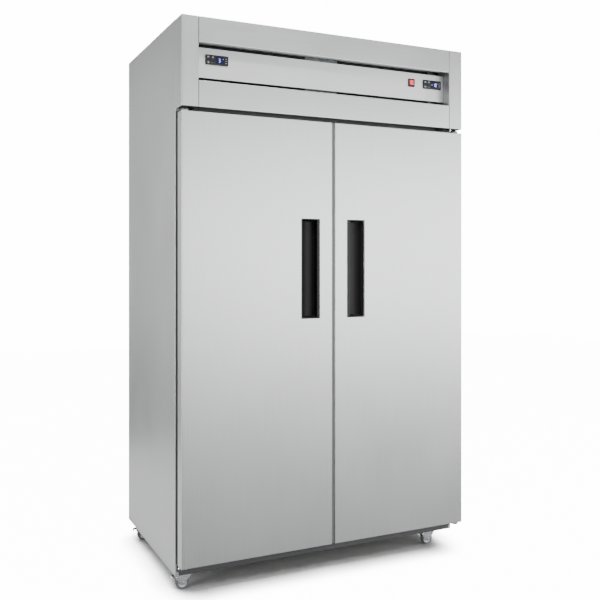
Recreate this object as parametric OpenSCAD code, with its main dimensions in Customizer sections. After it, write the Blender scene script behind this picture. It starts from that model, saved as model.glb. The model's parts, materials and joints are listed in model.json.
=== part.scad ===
// Two-section reach-in refrigerator with a top-mounted machine compartment.
// Millimetres. +Z is up, the doors face -Y, and the origin is on the floor under the middle of the cabinet.

/* [Overall] */
// Width over the side panels
body_w = 1220; // [1200:10:1260]
// Depth from the back panel to the door faces
body_d = 800; // [780:10:840]
// Height on its casters
body_h = 2100; // [2090:5:2160]
// Height of a caster, from the floor to the base panel
caster_h = 72; // [72:1:80]

/* [Cabinet] */
// Thickness of the sheet metal
sheet = 1.2; // [0.9:0.1:1.5]
// Thickness of the foamed side and back walls, with their skins
wall_t = 61; // [56:1:64]
// Width of the foamed wall between the two sections
mullion_w = 96; // [90:2:104]
// Height of the compartment floors above the base panel
floor_t = 92; // [90:1:100]
// Inside height of a section
section_h = 1548; // [1520:4:1560]
// Thickness of the foamed top
roof_t = 78; // [70:1:90]
// Thickness of the face frame round the openings
frame_t = 12; // [8:1:14]

/* [Doors] */
// Height of the door bottoms above the base panel
door_lift = 50; // [46:1:54]
// Height of a door
door_h = 1635; // [1625:1:1645]
// Depth of the folded steel edge of a door
door_edge = 48; // [44:1:50]
// Distance from the door faces to the cabinet face
door_proud = 80; // [76:1:84]
// Gap between the two doors
door_gap = 12; // [8:1:16]
// Inset of the seal from the edges of a door
seal_inset = 20; // [20:1:22]

/* [Handles] */
// Width of a recessed handle over its bezel
handle_w = 78; // [70:1:86]
// Height of a recessed handle over its bezel
handle_h = 382; // [340:2:420]
// Depth of the finger cup
handle_depth = 34; // [28:1:36]
// Distance from the middle of the refrigerator to the middle of a handle
handle_x = 99; // [90:1:110]
// Height of the middle of a handle above the floor
handle_z = 1191; // [1100:1:1250]

/* [Header] */
// Gap between the doors and the header
header_gap = 16; // [14:1:18]
// Width of the cap at each end of the header
end_cap_w = 64; // [56:1:70]
// Height of the upper header panel
upper_panel_h = 94; // [86:1:100]
// Height of the lower header panel
lower_panel_h = 97; // [90:1:104]
// Distance that the control panel is set back
panel_setback = 43; // [36:1:48]

/* [Controls] */
// Width of a controller's bezel
controller_w = 88; // [80:1:92]
// Height of a controller's bezel
controller_h = 37; // [34:1:40]
// Distance from the middle to the left controller
left_controller_x = -463; // [-480:1:-440]
// Distance from the middle to the right controller
right_controller_x = 487; // [470:1:490]
// Distance from the middle to the power switch
switch_x = 386; // [370:1:400]

/* [Casters] */
// Diameter of a wheel
wheel_d = 50; // [48:1:50]
// Width of a wheel
wheel_w = 20; // [18:1:22]
// Offset of a wheel's axle from its swivel
trail = 20; // [20:1:22]

/* [Interior] */
// Shelves in a section
shelf_count = 3; // [2:1:4]
// Pitch of the wires of a shelf
wire_pitch = 20; // [18:1:26]

/* [Hidden] */
$fn = 64;

// Colours
steel = "silver";
dark_steel = "dimgray";
black_plastic = [0.09, 0.09, 0.1];
foam_colour = "khaki";

// Main planes. The handle bezels stand proud of the doors and are the foremost thing.
bezel_proud = 2;
half_w = body_w / 2;
y_back = (body_d + bezel_proud) / 2;
y_door = y_back - body_d;
y_cab = y_door + door_proud;
z_base = caster_h;
z_top = body_h;
seam = 1; // gap between neighbouring panels
slit = 0.2; // joint between pieces that butt together
return_w = 14; // folded return along a panel's edge

// Compartments
liner_t = 0.8;
in_x0 = mullion_w / 2;
in_x1 = half_w - wall_t;
in_y0 = y_cab + frame_t;
in_y1 = y_back - wall_t;
in_z0 = z_base + floor_t;
in_z1 = in_z0 + section_h;
z_deck = in_z1 + roof_t;
stile_x1 = half_w - return_w - slit;

// Doors. The left door is drawn, and the right one is its mirror image.
door_x0 = -half_w;
door_x1 = -door_gap / 2;
door_z0 = z_base + door_lift;
door_z1 = door_z0 + door_h;
y_edge = y_door + door_edge;
liner_depth = 13;
plateau_depth = 8;
liner_margin = 6;
liner_wall = 1.5;
seal_w = 18;
strip_clear = 1.4; // from the meeting strip to the right door
lip_w = 14; // return round the back of the door skin
skin_t = 1;

// Hinges
pivot_x = -half_w + 20;
pivot_y = y_door + 25;
pin_r = 5;
pin_fit = 0.05; // radial running clearance
bracket_t = 5;
bush_r = 9;
bush_len = 18;
hinge_gap = 5; // from the door to the bracket plate

// Handle cups
cup_wall = 2.4;
handle_corner_r = 2;
cup_w = handle_w - 8;
cup_h = handle_h - 8;

// Header
header_z = door_z1 + header_gap;
y_panel = y_door + panel_setback;
upper_z = z_top - upper_panel_h;
lower_z1 = header_z + lower_panel_h;
panel_z0 = lower_z1 + 19;
panel_z1 = upper_z - 7.5;
recess_return = 27;
end_cap_in = half_w - end_cap_w;

// Controls
controller_z = 1957;
bezel_t = 5;
controller_body_d = 58;
key_w = 8;
key_h = 7;
key_t = 3.4;
key_proud = 0.9;
key_fit = 0.25;
window_w = 34;
window_h = 26;
window_dx = 11.5;
// Offsets of the three keys from the middle of a controller: set, defrost, down
key_at = [[-34.5, 10], [-17, 9.5], [-34.5, -10]];
switch_w = 31;
switch_h = 34;
switch_z = 1957;
rocker_w = 18.6;
rocker_reach = 11; // half of the rocker's height
rocker_r = 2; // trunnion radius
rocker_tilt = 12;
rocker_y = y_panel + 1;

// Casters
swivel_x = half_w - 64;
swivel_front_y = y_cab + 60;
swivel_rear_y = y_back - 80;
wheel_r = wheel_d / 2;
plate_w = 62;
plate_t = 3;
race_r = 21;
king_r = 4;
axle_r = 4;
cheek_t = 2.4;
cheek_y = wheel_w / 2 + 1;
yoke_z = 55.5;
pedal_dx = -24; // pedal pivot from the axle
pedal_z = 47;
bolt_at = 23.5;

// Machine compartment
unit_x = 292; // middle of each condensing unit
coil_y0 = y_cab + 42;
coil_d = 46;
coil_w = 460;
coil_z0 = z_deck + sheet + 14;
coil_h = 236;
fan_z = coil_z0 + coil_h / 2;
fan_y = coil_y0 + coil_d + 26;
fan_r = 104;
shroud_y = coil_y0 + coil_d;
baffle_y = coil_y0 - 14;
filter_w = 440;
filter_h = 210;
filter_z0 = coil_z0 + 13;

// Evaporators
evap_x = (in_x0 + in_x1) / 2;
evap_w = 420;
evap_y0 = 160;
evap_z0 = in_z1 - 168;
evap_fan_r = 74;
evap_fan_z = in_z1 - 84;

// Shelves
shelf_w = in_x1 - in_x0 - 30;
shelf_y0 = in_y0 + 26;
shelf_y1 = in_y1 - 14;
shelf_pitch = (evap_z0 - in_z0 - 90) / shelf_count;

// ---- shared shapes ----

module box(x0, x1, y0, y1, z0, z1) {
  translate([x0, y0, z0]) cube([x1 - x0, y1 - y0, z1 - z0]);
}

module mirrored() {
  mirror([1, 0, 0]) children();
}

module both_sides() {
  children();
  mirrored() children();
}

// Rectangle about the origin with round corners
module rounded(w, h, r) {
  square([w - 2 * r, h], center = true);
  square([w, h - 2 * r], center = true);
  for (sx = [-1, 1], sy = [-1, 1])
    translate([sx * (w / 2 - r), sy * (h / 2 - r)]) circle(r);
}

// Plate with round corners, standing upright: its front is at y0 and its back at y1
module upright_plate(w, h, r, y0, y1) {
  translate([0, y1, 0]) rotate([90, 0, 0]) linear_extrude(y1 - y0) rounded(w, h, r);
}

// Rectangle whose corner at (x0, y0) is round
module one_round_corner(x0, x1, y0, y1, r) {
  translate([x0 + r, y0]) square([x1 - x0 - r, y1 - y0]);
  translate([x0, y0 + r]) square([x1 - x0, y1 - y0 - r]);
  translate([x0 + r, y0 + r]) circle(r);
}

// Sheet folded to a profile of [y, z] points, running from x0 to x1
module along_x(x0, x1, points) {
  translate([x0, 0, 0]) rotate([90, 0, 90]) linear_extrude(x1 - x0) polygon(points);
}

// Upright box, less a smaller one, which makes a frame round an opening
module picture_frame(x0, x1, z0, z1, w, y0, y1) {
  difference() {
    box(x0, x1, y0, y1, z0, z1);
    box(x0 + w, x1 - w, y0 - 1, y1 + 1, z0 + w, z1 - w);
  }
}

// Straight rod from p along one axis to q
module rod(p, q, r) {
  d = q - p;
  turn = abs(d[0]) > 0.01 ? [0, 90, 0] : abs(d[1]) > 0.01 ? [-90, 0, 0] : [0, 0, 0];
  base = d[0] + d[1] + d[2] > 0 ? p : q;
  translate(base) rotate(turn) cylinder(r = r, h = norm(d));
}

function unit(v) = v / norm(v);
function bend_in(points, i, r) =
  i == 0 ? points[0] : points[i] + unit(points[i + 1] - points[i]) * r;
function bend_out(points, i, r) =
  i == len(points) - 2 ? points[i + 1] : points[i + 1] - unit(points[i + 1] - points[i]) * r;

// Tube along square-cornered points, with a quarter torus at each corner
module pipe(points, r, bend_r) {
  for (i = [0 : len(points) - 2])
    rod(bend_in(points, i, bend_r), bend_out(points, i, bend_r), r);
  for (i = [1 : len(points) - 2]) {
    u = unit(points[i] - points[i - 1]);
    v = unit(points[i + 1] - points[i]);
    w = cross(u, v);
    c = points[i] - u * bend_r + v * bend_r;
    multmatrix([[-v[0], u[0], w[0], c[0]], [-v[1], u[1], w[1], c[1]], [-v[2], u[2], w[2], c[2]]])
      rotate_extrude(angle = 90) translate([bend_r, 0]) circle(r);
  }
}

// ---- cabinet ----

// Folded sheet with returns along the front, the back and the open top
module side_panel() {
  color(steel) {
    translate([0, 0, z_base]) linear_extrude(z_top - z_base) polygon([
      [-half_w, y_cab], [-half_w + return_w, y_cab], [-half_w + return_w, y_cab + sheet],
      [-half_w + sheet, y_cab + sheet], [-half_w + sheet, y_back - sheet],
      [-half_w + return_w, y_back - sheet], [-half_w + return_w, y_back], [-half_w, y_back]]);
    box(-half_w + sheet, -half_w + return_w, y_cab + sheet, y_back - sheet, z_top - sheet, z_top);
  }
}

module side_panel_left() {
  side_panel();
}

module side_panel_right() {
  mirrored() side_panel();
}

module back_panel() {
  color(steel) box(-stile_x1, stile_x1, y_back - sheet, y_back, z_base, z_deck);
}

// Underside of the cabinet, drilled for the caster bolts
module base_panel() {
  color(steel) difference() {
    box(-half_w + sheet, half_w - sheet, y_cab + frame_t + slit, y_back - sheet, z_base, z_base + sheet);
    at_casters() at_bolts() translate([0, 0, z_base - 1]) cylinder(r = 4.2, h = sheet + 2);
  }
}

// Foam slabs, one to a wall, that butt together
module insulation() {
  x1 = half_w - sheet;
  y0 = in_y0 + slit;
  y1 = y_back - sheet;
  wall_z0 = in_z0 - liner_t + slit;
  wall_z1 = in_z1 + liner_t - slit;
  color(foam_colour) {
    box(-x1, x1, y0, y1, z_base + sheet, in_z0 - liner_t);
    box(-x1, x1, y0, y1, in_z1 + liner_t, z_deck);
    both_sides() box(-x1, -in_x1 - liner_t, y0, y1, wall_z0, wall_z1);
    box(-in_x1 - liner_t + slit, in_x1 + liner_t - slit, in_y1 + liner_t, y1, wall_z0, wall_z1);
    box(-in_x0 + liner_t, in_x0 - liner_t, y0, in_y1 + liner_t - slit, wall_z0, wall_z1);
  }
}

// Inner tub of each section, open at the front
module liners() {
  color("whitesmoke") both_sides() difference() {
    box(-in_x1 - liner_t + slit, -in_x0 + liner_t - slit, in_y0 + slit, in_y1 + liner_t - slit,
      in_z0 - liner_t + slit, in_z1 + liner_t - slit);
    box(-in_x1, -in_x0, in_y0 - 1, in_y1, in_z0, in_z1);
  }
}

// Shallow sheet channel, open at the back
module face_channel(x0, x1, z0, z1) {
  s = sheet;
  difference() {
    box(x0, x1, y_cab, y_cab + frame_t, z0, z1);
    box(x0 + s, x1 - s, y_cab + s, y_cab + frame_t + 1, z0 + s, z1 - s);
  }
}

// Stiles, rails and mullion of the face frame
module front_frame() {
  color(steel) {
    both_sides() face_channel(-stile_x1, -in_x1, z_base, z_deck);
    face_channel(-in_x1 + slit, in_x1 - slit, z_base, in_z0);
    face_channel(-in_x1 + slit, in_x1 - slit, in_z1, z_deck);
    face_channel(-in_x0, in_x0, in_z0 + slit, in_z1 - slit);
  }
}

// Outer top of the foamed cabinet, which carries the condensing units
module machine_deck() {
  y0 = y_cab + slit;
  color(steel) {
    box(-half_w + sheet, half_w - sheet, y0 + sheet + slit, y_back - sheet, z_deck, z_deck + sheet);
    box(-stile_x1, stile_x1, y0, y0 + sheet + slit, z_deck, z_deck + return_w);
    air_baffle();
  }
}

// Sheet in front of the coils that turns forward over the top, with a window for each coil
module air_baffle() {
  x1 = half_w - return_w - slit;
  z0 = z_deck + sheet + slit;
  difference() {
    union() {
      box(-x1, x1, baffle_y, baffle_y + sheet, z0, z_top);
      box(-x1, x1, y_cab, baffle_y, z_top - sheet, z_top);
    }
    for (x = [-unit_x, unit_x])
      box(x - filter_w / 2, x + filter_w / 2, baffle_y - 1, baffle_y + sheet + 1,
        filter_z0, filter_z0 + filter_h);
  }
}

// ---- header ----

// Folded cap, open at the back, that wraps the front corner. Its foot has only a return.
module header_end() {
  y1 = y_cab - seam;
  color(steel) {
    translate([0, 0, header_z]) linear_extrude(z_top - header_z) difference() {
      one_round_corner(-half_w, -end_cap_in, y_door, y1, 3);
      one_round_corner(-half_w + sheet, -end_cap_in - sheet, y_door + sheet, y1 + 1, 3 - sheet);
    }
    translate([0, 0, z_top - sheet]) linear_extrude(sheet)
      one_round_corner(-half_w, -end_cap_in, y_door, y1, 3);
    translate([0, 0, header_z]) linear_extrude(sheet)
      one_round_corner(-half_w, -end_cap_in, y_door, y_door + return_w, 3);
  }
}

module header_end_left() {
  header_end();
}

module header_end_right() {
  mirrored() header_end();
}

// Upper and lower panels of the header, each a folded channel
module header_panels() {
  x1 = end_cap_in - seam;
  y1 = y_cab - seam;
  yr = y_door + recess_return;
  s = sheet;
  color(steel) {
    along_x(-x1, x1, [
      [y_door, upper_z], [yr, upper_z], [yr, upper_z + s], [y_door + s, upper_z + s],
      [y_door + s, z_top - s], [y1, z_top - s], [y1, z_top], [y_door, z_top]]);
    along_x(-x1, x1, [
      [y_door, header_z], [y_door + return_w, header_z], [y_door + return_w, header_z + s],
      [y_door + s, header_z + s], [y_door + s, lower_z1 - s], [yr, lower_z1 - s], [yr, lower_z1],
      [y_door, lower_z1]]);
  }
}

// Set-back panel between the air slots, cut out for the controllers and the switch
module control_panel() {
  x1 = end_cap_in - seam;
  s = sheet;
  d = 14;
  color("gainsboro") difference() {
    along_x(-x1, x1, [
      [y_panel, panel_z0], [y_panel + d, panel_z0], [y_panel + d, panel_z0 + s], [y_panel + s, panel_z0 + s],
      [y_panel + s, panel_z1 - s], [y_panel + d, panel_z1 - s], [y_panel + d, panel_z1],
      [y_panel, panel_z1]]);
    for (x = [left_controller_x, right_controller_x])
      box(x - controller_w / 2 + 5.5, x + controller_w / 2 - 5.5, y_panel - 1, y_panel + s + 1,
        controller_z - controller_h / 2 + 3, controller_z + controller_h / 2 - 3);
    box(switch_x - 14.6, switch_x + 14.6, y_panel - 1, y_panel + s + 1, switch_z - 15.6, switch_z + 15.6);
  }
}

// ---- controls ----

module at_controllers() {
  for (x = [left_controller_x, right_controller_x]) translate([x, 0, controller_z]) children();
}

// Controller housings: bezel in front of the panel, body behind it, pockets for the window and the keys
module controller_cases() {
  front = y_panel - bezel_t;
  color(black_plastic) at_controllers() difference() {
    union() {
      upright_plate(controller_w, controller_h, 5, front, y_panel);
      box(-controller_w / 2 + 6, controller_w / 2 - 6, y_panel, y_panel + controller_body_d,
        -controller_h / 2 + 3.5, controller_h / 2 - 3.5);
    }
    translate([window_dx, 0, 0]) upright_plate(window_w, window_h, 2, front - 1, front + 1.4);
    for (k = key_at) translate([k[0], 0, k[1]])
      box(-key_w / 2 - key_fit, key_w / 2 + key_fit, front - 1, front + 4,
        -key_h / 2 - key_fit, key_h / 2 + key_fit);
  }
}

module display_windows() {
  front = y_panel - bezel_t;
  color("midnightblue") at_controllers() translate([window_dx, 0, 0])
    upright_plate(window_w, window_h, 2, front + 0.1, front + 1.4);
}

module controller_key(x, k) {
  front = y_panel - bezel_t - key_proud;
  color("lightgray") translate([x + key_at[k][0], 0, controller_z + key_at[k][1]])
    upright_plate(key_w, key_h, 1.2, front, front + key_t);
}

module key_left_set() {
  controller_key(left_controller_x, 0);
}

module key_left_defrost() {
  controller_key(left_controller_x, 1);
}

module key_left_down() {
  controller_key(left_controller_x, 2);
}

module key_right_set() {
  controller_key(right_controller_x, 0);
}

module key_right_defrost() {
  controller_key(right_controller_x, 1);
}

module key_right_down() {
  controller_key(right_controller_x, 2);
}

// Frame of the power switch, with a pocket and two bores for the rocker's trunnions
module switch_housing() {
  pocket_w = rocker_w + 0.6;
  color(black_plastic) translate([switch_x, 0, switch_z]) difference() {
    union() {
      upright_plate(switch_w, switch_h, 2.5, y_panel - 3, y_panel);
      box(-14.4, 14.4, y_panel, y_panel + 25, -15.4, 15.4);
    }
    box(-pocket_w / 2, pocket_w / 2, y_panel - 4, rocker_y + 6, -rocker_reach - 1.8, rocker_reach + 1.8);
    rod([-11.4, rocker_y, 0], [11.4, rocker_y, 0], rocker_r + pin_fit);
  }
}

// Rocker in its rest position: a shallow V whose upper half is pressed in
module switch_rocker() {
  h = rocker_reach;
  end_rise = 5 + h * tan(rocker_tilt);
  color("crimson") translate([switch_x, rocker_y, switch_z]) {
    rotate([-rocker_tilt, 0, 0]) along_x(-rocker_w / 2, rocker_w / 2, [
      [-5, 0], [-end_rise, -h], [-3, -h], [3, 3 - h], [3, h - 3], [-3, h], [-end_rise, h]]);
    rod([-11.1, 0, 0], [11.1, 0, 0], rocker_r);
  }
}

// ---- doors ----

module at_handle() {
  translate([-handle_x, 0, handle_z]) children();
}

module at_pivot() {
  translate([pivot_x, pivot_y, 0]) children();
}

// Holes for the two hinge bushes
module bush_holes(r, depth) {
  at_pivot() {
    translate([0, 0, door_z1 - depth]) cylinder(r = r, h = depth + 1);
    translate([0, 0, door_z0 - 1]) cylinder(r = r, h = depth + 1);
  }
}

// Outer pan of a door: face, four edges and a return round the back
module door_skin() {
  s = skin_t;
  color(steel) difference() {
    box(door_x0, door_x1, y_door, y_edge, door_z0, door_z1);
    box(door_x0 + s, door_x1 - s, y_door + s, y_edge - s, door_z0 + s, door_z1 - s);
    box(door_x0 + lip_w, door_x1 - lip_w, y_door + 2 * s, y_edge + 1, door_z0 + lip_w, door_z1 - lip_w);
    at_handle() box(-cup_w / 2, cup_w / 2, y_door - 1, y_door + 5, -cup_h / 2, cup_h / 2);
    bush_holes(bush_r + 0.1, 10);
  }
}

// Foam core: slabs round the handle cup, one behind it and one in the liner
module door_foam() {
  g = skin_t + 0.1;
  x0 = door_x0 + g;
  x1 = door_x1 - g;
  y0 = y_door + g;
  y1 = y_edge - g;
  z0 = door_z0 + g;
  z1 = door_z1 - g;
  cx0 = -handle_x - cup_w / 2 - 0.2;
  cx1 = -handle_x + cup_w / 2 + 0.2;
  cz0 = handle_z - cup_h / 2 - 0.2;
  cz1 = handle_z + cup_h / 2 + 0.2;
  color(foam_colour) {
    difference() {
      box(x0, cx0, y0, y1, z0, z1);
      bush_holes(bush_r + 0.1, bush_len + 2);
    }
    box(cx1, x1, y0, y1, z0, z1);
    box(cx0 + slit, cx1 - slit, y0, y1, z0, cz0);
    box(cx0 + slit, cx1 - slit, y0, y1, cz1, z1);
    box(cx0 + slit, cx1 - slit, y_door + handle_depth + 0.3, y1, cz0 + slit, cz1 - slit);
    door_box(liner_margin + liner_wall + 0.1, y_edge + 0.1, y_edge + liner_depth - liner_wall - 0.1);
  }
}

// Box over a door, drawn in by the same amount on all four edges
module door_box(inset, y0, y1) {
  box(door_x0 + inset, door_x1 - inset, y0, y1, door_z0 + inset, door_z1 - inset);
}

// Formed inner panel of a door: a margin that carries the seal, and a raised middle
module door_liner() {
  step_in = seal_inset + seal_w + 6;
  t = liner_wall;
  y1 = y_edge + liner_depth;
  color(dark_steel) difference() {
    union() {
      door_box(liner_margin, y_edge, y1);
      door_box(step_in, y1, y1 + plateau_depth);
    }
    door_box(liner_margin + t, y_edge - 1, y1 - t);
    door_box(step_in + t, y_edge - 1, y1 + plateau_depth - t);
  }
}

// Magnetic seal: a foot on the door, a narrow bellows and the magnet strip
module door_gasket() {
  y0 = y_edge + liner_depth;
  y1 = y_cab - 1;
  x0 = door_x0 + seal_inset;
  x1 = door_x1 - seal_inset;
  z0 = door_z0 + seal_inset;
  z1 = door_z1 - seal_inset;
  color(black_plastic) {
    picture_frame(x0, x1, z0, z1, seal_w, y0, y0 + 4);
    picture_frame(x0 + 4, x1 - 4, z0 + 4, z1 - 4, seal_w - 8, y0 + 4, y1 - 5);
    picture_frame(x0 + 1, x1 - 1, z0 + 1, z1 - 1, seal_w - 2, y1 - 5, y1);
  }
}

// Recessed pull: a thin bezel round a deep cup whose outer half is open for the fingers
module handle() {
  color(black_plastic) at_handle() difference() {
    union() {
      upright_plate(handle_w, handle_h, handle_corner_r, y_door - bezel_proud, y_door);
      upright_plate(cup_w, cup_h, handle_corner_r, y_door, y_door + handle_depth);
    }
    upright_plate(cup_w - 2 * cup_wall, cup_h - 2 * cup_wall, handle_corner_r, y_door - bezel_proud - 1,
      y_door + handle_depth - cup_wall);
  }
}

// Flanged bushes pressed into the top and bottom of a door
module hinge_bushes() {
  bore_r = pin_r + pin_fit;
  flange_t = hinge_gap - 0.4;
  color("ivory") at_pivot() {
    difference() {
      union() {
        translate([0, 0, door_z1 - bush_len]) cylinder(r = bush_r, h = bush_len);
        translate([0, 0, door_z1]) cylinder(r = 13, h = flange_t);
      }
      translate([0, 0, door_z1 - bush_len - 1]) cylinder(r = bore_r, h = bush_len + 10);
    }
    difference() {
      union() {
        translate([0, 0, door_z0]) cylinder(r = bush_r, h = bush_len);
        translate([0, 0, door_z0 - flange_t]) cylinder(r = 13, h = flange_t);
      }
      translate([0, 0, door_z0 - 9]) cylinder(r = bore_r, h = bush_len + 10);
    }
  }
}

module door_skin_left() {
  door_skin();
}

module door_skin_right() {
  mirrored() door_skin();
}

module door_foam_left() {
  door_foam();
}

module door_foam_right() {
  mirrored() door_foam();
}

module door_liner_left() {
  door_liner();
}

module door_liner_right() {
  mirrored() door_liner();
}

// The left door also carries the strip that fills the gap between the doors
module door_gasket_left() {
  door_gasket();
  color("darkgray") box(door_x1, door_x1 + door_gap - strip_clear, y_door + 4, y_door + 34,
    door_z0 + 2, door_z1 - 2);
}

module door_gasket_right() {
  mirrored() door_gasket();
}

module handle_left() {
  handle();
}

module handle_right() {
  mirrored() handle();
}

module hinge_bushes_left() {
  hinge_bushes();
}

module hinge_bushes_right() {
  mirrored() hinge_bushes();
}

// ---- hinges ----

// One bracket: a plate with a round nose, a flange on the cabinet face and a pin.
// up is 1 where the pin points up, into the bottom of a door, and -1 where it points down.
module hinge_bracket(up) {
  pin_z = up > 0 ? door_z0 - hinge_gap : door_z1 + hinge_gap;
  plate_z = up > 0 ? pin_z - bracket_t : pin_z;
  flange_z0 = up > 0 ? plate_z - 24 : plate_z - 22;
  at_pivot() {
    translate([0, 0, plate_z]) cylinder(r = 14, h = bracket_t);
    translate([0, 0, up > 0 ? pin_z : pin_z - 21]) cylinder(r = pin_r, h = 21);
  }
  box(pivot_x - 14, pivot_x + 14, pivot_y, y_cab, plate_z, plate_z + bracket_t);
  difference() {
    box(pivot_x - 14, pivot_x + 30, y_cab - 4, y_cab, flange_z0, plate_z + bracket_t);
    for (p = bracket_holes(flange_z0)) rod([p[0], y_cab - 5, p[1]], [p[0], y_cab + 1, p[1]], 3.2);
  }
}

function bracket_holes(z0) = [[pivot_x - 5, z0 + 11], [pivot_x + 21, z0 + 11]];
function flange_z(up) = up > 0 ? door_z0 - hinge_gap - bracket_t - 24 : door_z1 + hinge_gap - 22;

module hinge_brackets() {
  color(steel) both_sides() for (up = [-1, 1]) hinge_bracket(up);
}

// Domed screw that points along +Y
module pan_screw(r, len) {
  rotate([90, 0, 0]) cylinder(r1 = r * 1.9, r2 = r * 1.2, h = 2.4);
  rotate([-90, 0, 0]) cylinder(r = r, h = len);
}

// Screws of the hinge brackets and bolts of the caster plates
module screws() {
  color(dark_steel) {
    both_sides() for (up = [-1, 1], p = bracket_holes(flange_z(up)))
      translate([p[0], y_cab - 4, p[1]]) pan_screw(3, 3.8);
    at_casters() at_bolts() {
      translate([0, 0, z_base - plate_t - 5]) cylinder(r = 6.5, h = 5, $fn = 6);
      translate([0, 0, z_base - plate_t]) cylinder(r = 4, h = plate_t + sheet);
    }
  }
}

// ---- casters ----

module at_caster(sx, front) {
  translate([sx * swivel_x, front ? swivel_front_y : swivel_rear_y, 0]) children();
}

module at_casters() {
  for (sx = [-1, 1], front = [true, false]) at_caster(sx, front) children();
}

module at_bolts() {
  for (bx = [-1, 1], by = [-1, 1]) translate([bx * bolt_at, by * bolt_at, 0]) children();
}

// Mounting plate, upper race and king pin of each caster
module caster_plates() {
  plate_z = z_base - plate_t;
  race_z = yoke_z + 3.3;
  color("gainsboro") at_casters() {
    difference() {
      translate([0, 0, plate_z]) linear_extrude(plate_t) rounded(plate_w, plate_w, 6);
      at_bolts() translate([0, 0, plate_z - 1]) cylinder(r = 4.2, h = plate_t + 2);
    }
    translate([0, 0, race_z]) cylinder(r1 = race_r - 3, r2 = race_r, h = plate_z - race_z);
    translate([0, 0, yoke_z - 3.6]) cylinder(r = king_r, h = race_z - yoke_z + 3.6);
    translate([0, 0, yoke_z - 3.6]) cylinder(r = king_r + 2.5, h = 3.3);
  }
}

// Fork: yoke round the king pin, two cheeks, the axle and the pedal's pivot pin
module caster_fork() {
  color("whitesmoke") {
    difference() {
      union() {
        translate([0, 0, yoke_z]) cylinder(r = race_r + 1, h = 3);
        box(-trail - 16, 0, -cheek_y - cheek_t, cheek_y + cheek_t, yoke_z, yoke_z + 3);
      }
      translate([0, 0, yoke_z - 1]) cylinder(r = king_r + pin_fit, h = 5);
    }
    for (side = [-1, 1]) {
      y0 = side > 0 ? cheek_y : -cheek_y - cheek_t;
      translate([0, y0 + cheek_t, 0]) rotate([90, 0, 0]) linear_extrude(cheek_t) union() {
        polygon([[-trail - 8, wheel_r], [-trail - 28, pedal_z], [-trail - 22, yoke_z + 2], [12, yoke_z + 2],
          [12, yoke_z - 6], [-trail + 8, wheel_r]]);
        translate([-trail, wheel_r]) circle(9);
        translate([-trail + pedal_dx, pedal_z]) circle(6);
      }
    }
    outer = cheek_y + cheek_t + 1.5;
    rod([-trail, -outer, wheel_r], [-trail, outer, wheel_r], axle_r);
    rod([-trail + pedal_dx, -outer, pedal_z], [-trail + pedal_dx, outer, pedal_z], 2);
  }
}

// Wheel: tyre, dished rim and a hub bored for the axle
module caster_wheel() {
  w = wheel_w / 2;
  color("lightgray") translate([-trail, 0, wheel_r]) rotate([90, 0, 0]) rotate_extrude() polygon([
    [axle_r + pin_fit, -w], [9, -w], [9, -w + 4], [wheel_r - 7, -w + 4], [wheel_r - 6, -w + 1],
    [wheel_r - 2, -w + 1], [wheel_r, -w + 3], [wheel_r, w - 3], [wheel_r - 2, w - 1],
    [wheel_r - 6, w - 1], [wheel_r - 7, w - 4], [9, w - 4], [9, w], [axle_r + pin_fit, w]]);
}

// Brake pedal: an eye round its pin, a shoe that swings against the tyre, and a foot plate
module brake_pedal() {
  half = cheek_y - 0.5;
  color("gainsboro") translate([-trail + pedal_dx, 0, pedal_z]) difference() {
    union() {
      rod([0, -half, 0], [0, half, 0], 4.2);
      along_y(-half, half, [[0, 4.2], [-14, 3], [-14, 0.2], [0, -1]]);
      along_y(-8, 8, [[-4, -1], [-4, -8.5], [-2.2, -9.5], [-0.4, -9], [2, -3.5]]);
      along_y(-half - 3, half + 3, [[-8, 3.4], [-16, 2.6], [-18, -4], [-20, -4], [-18.4, 5], [-8, 5.6]]);
    }
    rod([0, -half - 1, 0], [0, half + 1, 0], 2 + pin_fit);
  }
}

// Profile of [x, z] points, running from y0 to y1
module along_y(y0, y1, points) {
  translate([0, y1, 0]) rotate([90, 0, 0]) linear_extrude(y1 - y0) polygon(points);
}

module caster_fork_front_left() {
  at_caster(-1, true) caster_fork();
}

module caster_fork_front_right() {
  at_caster(1, true) caster_fork();
}

module caster_fork_rear_left() {
  at_caster(-1, false) caster_fork();
}

module caster_fork_rear_right() {
  at_caster(1, false) caster_fork();
}

module wheel_front_left() {
  at_caster(-1, true) caster_wheel();
}

module wheel_front_right() {
  at_caster(1, true) caster_wheel();
}

module wheel_rear_left() {
  at_caster(-1, false) caster_wheel();
}

module wheel_rear_right() {
  at_caster(1, false) caster_wheel();
}

module brake_pedal_front_left() {
  at_caster(-1, true) brake_pedal();
}

module brake_pedal_front_right() {
  at_caster(1, true) brake_pedal();
}

module brake_pedal_rear_left() {
  at_caster(-1, false) brake_pedal();
}

module brake_pedal_rear_right() {
  at_caster(1, false) brake_pedal();
}

// ---- machine compartment ----

module at_units() {
  for (x = [-unit_x, unit_x]) translate([x, 0, 0]) children();
}

// Hermetic compressors on rubber feet
module compressors() {
  z0 = z_deck + sheet;
  color(black_plastic) at_units() translate([0, 90, z0]) {
    box(-95, 95, -75, 75, 12, 16);
    for (sx = [-1, 1], sy = [-1, 1]) translate([sx * 75, sy * 58, 0]) cylinder(r = 11, h = 12);
    translate([0, 0, 16]) rotate_extrude() polygon([
      [0, 0], [62, 0], [74, 10], [76, 22], [76, 84], [79, 84], [79, 92], [76, 92], [76, 132], [70, 150],
      [52, 164], [26, 170], [0, 171]]);
    box(70, 104, -28, 28, 50, 116);
  }
}

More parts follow.
